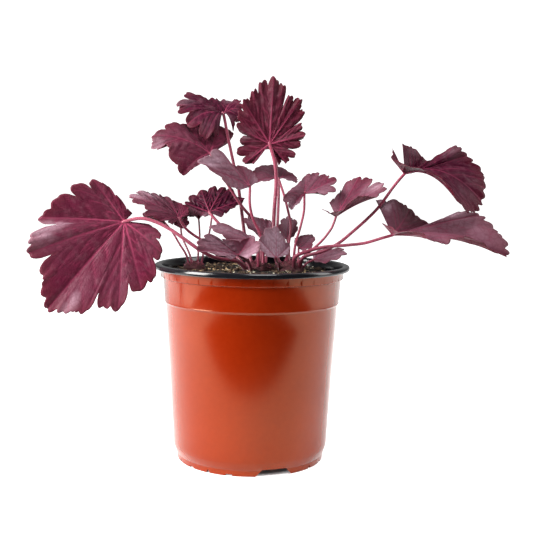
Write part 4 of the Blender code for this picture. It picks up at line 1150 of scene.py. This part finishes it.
def paint_pot(pot, terracotta, black):
    """Terracotta outside, and black on the lip, the inside and the floor."""
    pot.data.materials.clear()
    pot.data.materials.append(terracotta)
    pot.data.materials.append(black)
    for polygon in pot.data.polygons:
        middle = polygon.center / MM
        out = Vector((middle.x, middle.y, 0))
        inside = polygon.normal.dot(out.normalized()) < -0.1 and middle.z > 10
        floor = middle.z > FLOOR_Z - 1 and out.length < FOOT_RING_RADIUS - 3
        polygon.material_index = 1 if middle.z > BLACK_ABOVE_Z or inside or floor else 0


def build_pot(terracotta, black):
    """The pot's shell, drawn up from the foot and back down inside, with its openings cut."""
    deselect_all()
    pot = raise_outline(pot_outline(), POT_SIDES)
    bpy.ops.mesh.fill()
    bpy.ops.object.mode_set(mode="OBJECT")
    close_foot(pot)
    combine(pot, "DIFFERENCE", foot_cutters())
    combine(pot, "UNION", collar_ribs())
    paint_pot(pot, terracotta, black)
    only(pot)
    bpy.ops.object.shade_smooth_by_angle(angle=math.radians(35))
    pot.name = "nursery_pot"
    finish_piece(pot, ("pot",))


# Potting mix


def soil_height(x, y):
    radius = math.hypot(x, y) / COLLAR_RADIUS
    lumps = noise.noise(Vector((x, y, 3.0)) / 7.0) + 0.6 * noise.noise(Vector((x, y, 9.0)) / 3.5)
    return SOIL_EDGE_Z + SOIL_MOUND * (1 - radius ** 2) + SOIL_LUMP * lumps


def soil_detail(x, y):
    """The mix's height with its crumbs."""
    crumbs = noise.noise(Vector((x, y, 1.0)) / 1.6) + 0.7 * noise.noise(Vector((x, y, 5.0)) / 0.8)
    return soil_height(x, y) + SOIL_CRUMB * crumbs


def build_soil(earth):
    """The mix: sides inside the pot's wall, and a mounded top with crumbs."""
    outline = [
        (FOOT_RING_RADIUS - 2.5, FLOOR_Z + WALL + 0.3),
        (WALL_FOOT_RADIUS - WALL - 0.5, WALL_FOOT_Z + 1),
        (STEP_LOWER_RADIUS - WALL - 0.4, STEP_Z),
        (SOIL_RADIUS, SHOULDER_Z - 0.6),
    ]
    deselect_all()
    for k in range(SOIL_RINGS - 1, 0, -1):
        outline.append((SOIL_RADIUS * k / SOIL_RINGS, SHOULDER_Z))
    soil = raise_outline(outline, SOIL_SIDES)
    bpy.ops.mesh.edge_face_add()
    bpy.ops.mesh.select_all(action="DESELECT")
    bpy.ops.mesh.select_non_manifold()
    bpy.ops.mesh.edge_face_add()
    bpy.ops.mesh.select_all(action="SELECT")
    bpy.ops.mesh.normals_make_consistent(inside=False)
    bpy.ops.object.mode_set(mode="OBJECT")
    for vertex in soil.data.vertices:
        x, y, z = vertex.co / MM
        if z > SHOULDER_Z - 0.2:
            vertex.co.z = max(soil_detail(x, y), SHOULDER_Z - 0.5) * MM
    soil.data.materials.append(earth)
    only(soil)
    bpy.ops.object.shade_smooth()
    soil.name = "potting_mix"
    finish_piece(soil, ("soil",))


def scatter(name, master, count, seed, sizes, material, sink):
    """Copies of one small shape laid on the mix, each turned and stretched its own way."""
    draw = random.Random(seed)
    copies = []
    for _ in range(count):
        radius = SOIL_RADIUS * LITTER_REACH * math.sqrt(draw.random())
        x, y = on_circle(radius, draw.uniform(0, 2 * math.pi))
        size = draw.uniform(*sizes)
        copy = bpy.data.objects.new(name, master.data.copy())
        bpy.context.scene.collection.objects.link(copy)
        copy.scale = Vector((size, size * draw.uniform(0.5, 1), size * draw.uniform(0.3, 0.8)))
        copy.rotation_euler = (draw.uniform(-0.5, 0.5), draw.uniform(-0.5, 0.5),
                               draw.uniform(0, 2 * math.pi))
        copy.location = Vector((x, y, soil_height(x, y) + size * sink)) * MM
        copies.append(copy)
    bpy.data.objects.remove(master)
    whole = joined(name, copies)
    whole.data.materials.clear()
    whole.data.materials.append(material)
    finish_piece(whole)


def chip_master(seed):
    """A small split flake: a box with knocked-off corners."""
    bpy.ops.mesh.primitive_cube_add(size=1.0 * MM)
    chip = bpy.context.active_object
    bpy.ops.object.mode_set(mode="EDIT")
    bpy.ops.mesh.bevel(offset=0.14 * MM, segments=1)
    bpy.ops.object.mode_set(mode="OBJECT")
    draw = random.Random(seed)
    for vertex in chip.data.vertices:
        vertex.co += Vector([draw.uniform(-0.12, 0.12) for _ in range(3)]) * MM
    return chip


def grain_master(seed):
    bpy.ops.mesh.primitive_ico_sphere_add(subdivisions=2, radius=0.5 * MM)
    grain = bpy.context.active_object
    for vertex in grain.data.vertices:
        vertex.co *= 1 + 0.3 * noise.noise(vertex.co / MM * 2.4 + Vector((seed, 0, 0)))
    return grain


def build_litter(earths):
    """Bark and perlite on the mix."""
    scatter("bark_chips", chip_master(3), BARK_CHIPS, 11, (1.2, 3.8),
            earths["brown_bark"], 0.10)
    scatter("pale_bark_chips", chip_master(5), PALE_BARK_CHIPS, 12, (1.0, 2.8),
            earths["pale_bark"], 0.15)
    scatter("perlite_grains", grain_master(4), PERLITE_GRAINS, 13, (0.8, 2.2),
            earths["perlite"], 0.12)


def build_fibres(earth):
    """Thin pale roots that lie on the mix."""
    draw = random.Random(14)
    mesh = LeafMesh()
    for _ in range(FIBRES):
        radius = FIBRE_REACH * math.sqrt(draw.random())
        x, y = on_circle(radius, draw.uniform(0, 2 * math.pi))
        heading = draw.uniform(0, 2 * math.pi)
        way = []
        for k in range(FIBRE_BENDS):
            x += FIBRE_STEP * math.cos(heading)
            y += FIBRE_STEP * math.sin(heading)
            heading += draw.uniform(-0.5, 0.5)
            rise = 0.5 + 0.7 * math.sin(k * 0.9 + radius)
            way.append(Vector((x, y, soil_height(x, y) + rise)) * MM)
        points = curve_through(way, np.linspace(0, FIBRE_BENDS - 1, FIBRE_RINGS))
        radii = np.full(len(points), FIBRE_RADIUS * MM)
        add_tube(mesh, points, radii, 0, np.zeros(len(points)), sides=5)
    fibres = mesh.make("root_fibres", 0, 0, [earth])
    finish_piece(fibres)


# Crowns


def build_crown(name, skin, scale_skin):
    """A knobbly base clothed in overlapping pointed scales."""
    x, y, radius, top = CROWNS[name]
    draw = random.Random(name)
    bpy.ops.mesh.primitive_uv_sphere_add(segments=64, ring_count=36, radius=radius * MM)
    body = bpy.context.active_object
    for vertex in body.data.vertices:
        bump = 1 + 0.10 * noise.noise(vertex.co * 260 + Vector((x, y, 0)))
        bump += 0.05 * noise.noise(vertex.co * 900)
        vertex.co *= bump
        vertex.co.z *= CROWN_FLATNESS
        vertex.co += Vector((x, y, top - CROWN_FLATNESS * radius)) * MM
    body.data.materials.append(skin)
    body.data.materials.append(scale_skin)
    scales = [body]
    for _ in range(int(radius * 4)):
        angle = draw.uniform(0, 2 * math.pi)
        reach = radius * math.sqrt(draw.random()) * 0.92
        lift = CROWN_FLATNESS * radius * math.sqrt(max(0, 1 - (reach / radius) ** 2))
        tall = draw.uniform(2.5, 5.5)
        bpy.ops.mesh.primitive_cone_add(vertices=10, radius1=draw.uniform(0.8, 1.4) * MM,
                                        radius2=0.1 * MM, depth=tall * MM)
        scale = bpy.context.active_object
        bpy.ops.object.mode_set(mode="EDIT")
        bpy.ops.mesh.subdivide(number_cuts=1)
        bpy.ops.object.mode_set(mode="OBJECT")
        scale.scale = (1, 0.6, 1)
        scale.rotation_euler = Euler((draw.uniform(-0.2, 0.2), 0.25 + 0.9 * reach / radius, angle))
        east, north = on_circle(reach, angle)
        height = top - CROWN_FLATNESS * radius + lift - 0.1
        scale.location = Vector((x + east, y + north, height)) * MM
        scale.data.materials.append(scale_skin)
        scales.append(scale)
    whole = joined(name.replace("crown_", "") + "_crown", scales)
    only(whole)
    bpy.ops.object.shade_smooth_by_angle(angle=math.radians(50))
    finish_piece(whole, (name,))


# Studio


def floor_glow(nodes, links, side, distances, strengths):
    """How much the sheet glows by its distance from the pot's axis moved sideways. Less glow
    paints a shadow near and under the pot.
    """
    away = nodes.new("ShaderNodeVectorMath")
    away.operation = "DISTANCE"
    middle = Vector((side, -SHEET_FRONT - SHEET_SIZE / 2, 0))
    away.inputs[1].default_value = FRAME_SHIFT + middle
    links.new(object_place(nodes), away.inputs[0])
    return remapped(nodes, links, away.outputs["Value"], distances, strengths)


def build_floor():
    """A white sheet that glows to the camera and in reflections, dimmer close to the pot, where
    a shadow is painted.
    """
    bpy.ops.mesh.primitive_plane_add(size=SHEET_SIZE,
                                     location=(0, SHEET_FRONT + SHEET_SIZE / 2, 0))
    floor = bpy.context.active_object
    floor.name = "studio_floor"
    material, nodes, links = new_material("white_sweep")
    shader = nodes["Principled BSDF"]
    shader.inputs["Base Color"].default_value = (0.93, 0.93, 0.93, 1)
    shader.inputs["Roughness"].default_value = 0.9
    shader.inputs["Specular IOR Level"].default_value = 0.1
    shader.inputs["Emission Color"].default_value = (1, 1, 1, 1)
    path = nodes.new("ShaderNodeLightPath")
    seen = nodes.new("ShaderNodeMath")
    seen.operation = "MULTIPLY_ADD"
    seen.inputs[1].default_value = 0.75
    links.new(path.outputs["Is Glossy Ray"], seen.inputs[0])
    links.new(path.outputs["Is Camera Ray"], seen.inputs[2])
    # Painted shadow: the glow is dimmed round the pot, moved to its right, and almost put out under
    # it.
    painted_shadow = floor_glow(nodes, links, 0.02, (0.065, 0.140), (FLOOR_SHADOW_GLOW, FLOOR_GLOW))
    below = floor_glow(nodes, links, 0.0, (0.053, 0.064), (0.02, 1.0))
    glow = add_node(nodes, "ShaderNodeMapRange", To_Min=FLOOR_BOUNCE)
    links.new(seen.outputs[0], glow.inputs["Value"])
    links.new(multiplied(nodes, links, painted_shadow, below), glow.inputs["To Max"])
    links.new(glow.outputs["Result"], shader.inputs["Emission Strength"])
    floor.data.materials.append(material)


def build_room():
    """White to the camera, and soft light that grows towards the back."""
    world = bpy.data.worlds.new("white_room")
    bpy.context.scene.world = world
    world.use_nodes = True
    nodes, links = world.node_tree.nodes, world.node_tree.links
    soft = nodes["Background"]
    soft.inputs["Color"].default_value = (1.0, 1.0, 1.0, 1)
    split = nodes.new("ShaderNodeSeparateXYZ")
    links.new(nodes.new("ShaderNodeTexCoord").outputs["Generated"], split.inputs[0])
    strength = remapped(nodes, links, split.outputs["Y"], (-0.2, 0.7), (FRONT_LIGHT, BACK_LIGHT))
    links.new(strength, soft.inputs["Strength"])
    white = add_node(nodes, "ShaderNodeBackground", Color=(1, 1, 1, 1), Strength=ROOM_BRIGHTNESS)
    mix = nodes.new("ShaderNodeMixShader")
    links.new(nodes.new("ShaderNodeLightPath").outputs["Is Camera Ray"], mix.inputs[0])
    links.new(soft.outputs[0], mix.inputs[1])
    links.new(white.outputs[0], mix.inputs[2])
    links.new(mix.outputs[0], nodes["World Output"].inputs["Surface"])


def build_lights():
    """Soft boxes of the table, all aimed at the middle of the plant."""
    for name, spot, size, power, colour in LIGHTS:
        data = bpy.data.lights.new(name, "AREA")
        data.shape = "RECTANGLE"
        data.size, data.size_y = size
        data.energy = power
        data.color = colour
        light = bpy.data.objects.new(name, data)
        bpy.context.scene.collection.objects.link(light)
        light.location = Vector(spot) + FRAME_SHIFT
        aim = Vector((0, 0, LIGHT_AIM_Z)) - Vector(spot)
        light.rotation_euler = aim.to_track_quat("-Z", "Y").to_euler()


def build_camera():
    data = bpy.data.cameras.new("camera")
    data.sensor_width = SENSOR_WIDTH
    data.lens = FOCAL_PIXELS / FRAME_PIXELS * SENSOR_WIDTH
    data.clip_end = 20
    camera = bpy.data.objects.new("camera", data)
    bpy.context.scene.collection.objects.link(camera)
    turn = Matrix.Rotation(math.pi / 2 - CAMERA_PITCH_DOWN, 4, "X")
    turn = turn @ Matrix.Rotation(CAMERA_ROLL, 4, "Z")
    camera.matrix_world = Matrix.Translation(EYE * MM + FRAME_SHIFT) @ turn
    bpy.context.scene.camera = camera


def main():
    bpy.context.scene.view_settings.view_transform = "Standard"
    mottle = mottle_group()
    black, _ = plastic_material("black_plastic", mottle, (40.0, 500.0), BLACK_COLOURS, 0.4)
    earths = {name: earth_material(name, mottle) for name in EARTHS}
    leaf_set = [leaf_material(mottle), stalk_material(mottle), hair_material()]
    build_pot(terracotta_material(mottle), black)
    build_soil(earths["wet_peat"])
    build_litter(earths)
    build_fibres(earths["fibre"])
    for name in CROWNS:
        build_crown(name, earths["crown_bark"], earths["bud_scale"])
    for name, leaf in LEAVES.items():
        build_leaf(name, leaf, leaf_set)
    build_floor()
    build_room()
    build_lights()
    build_camera()


main()
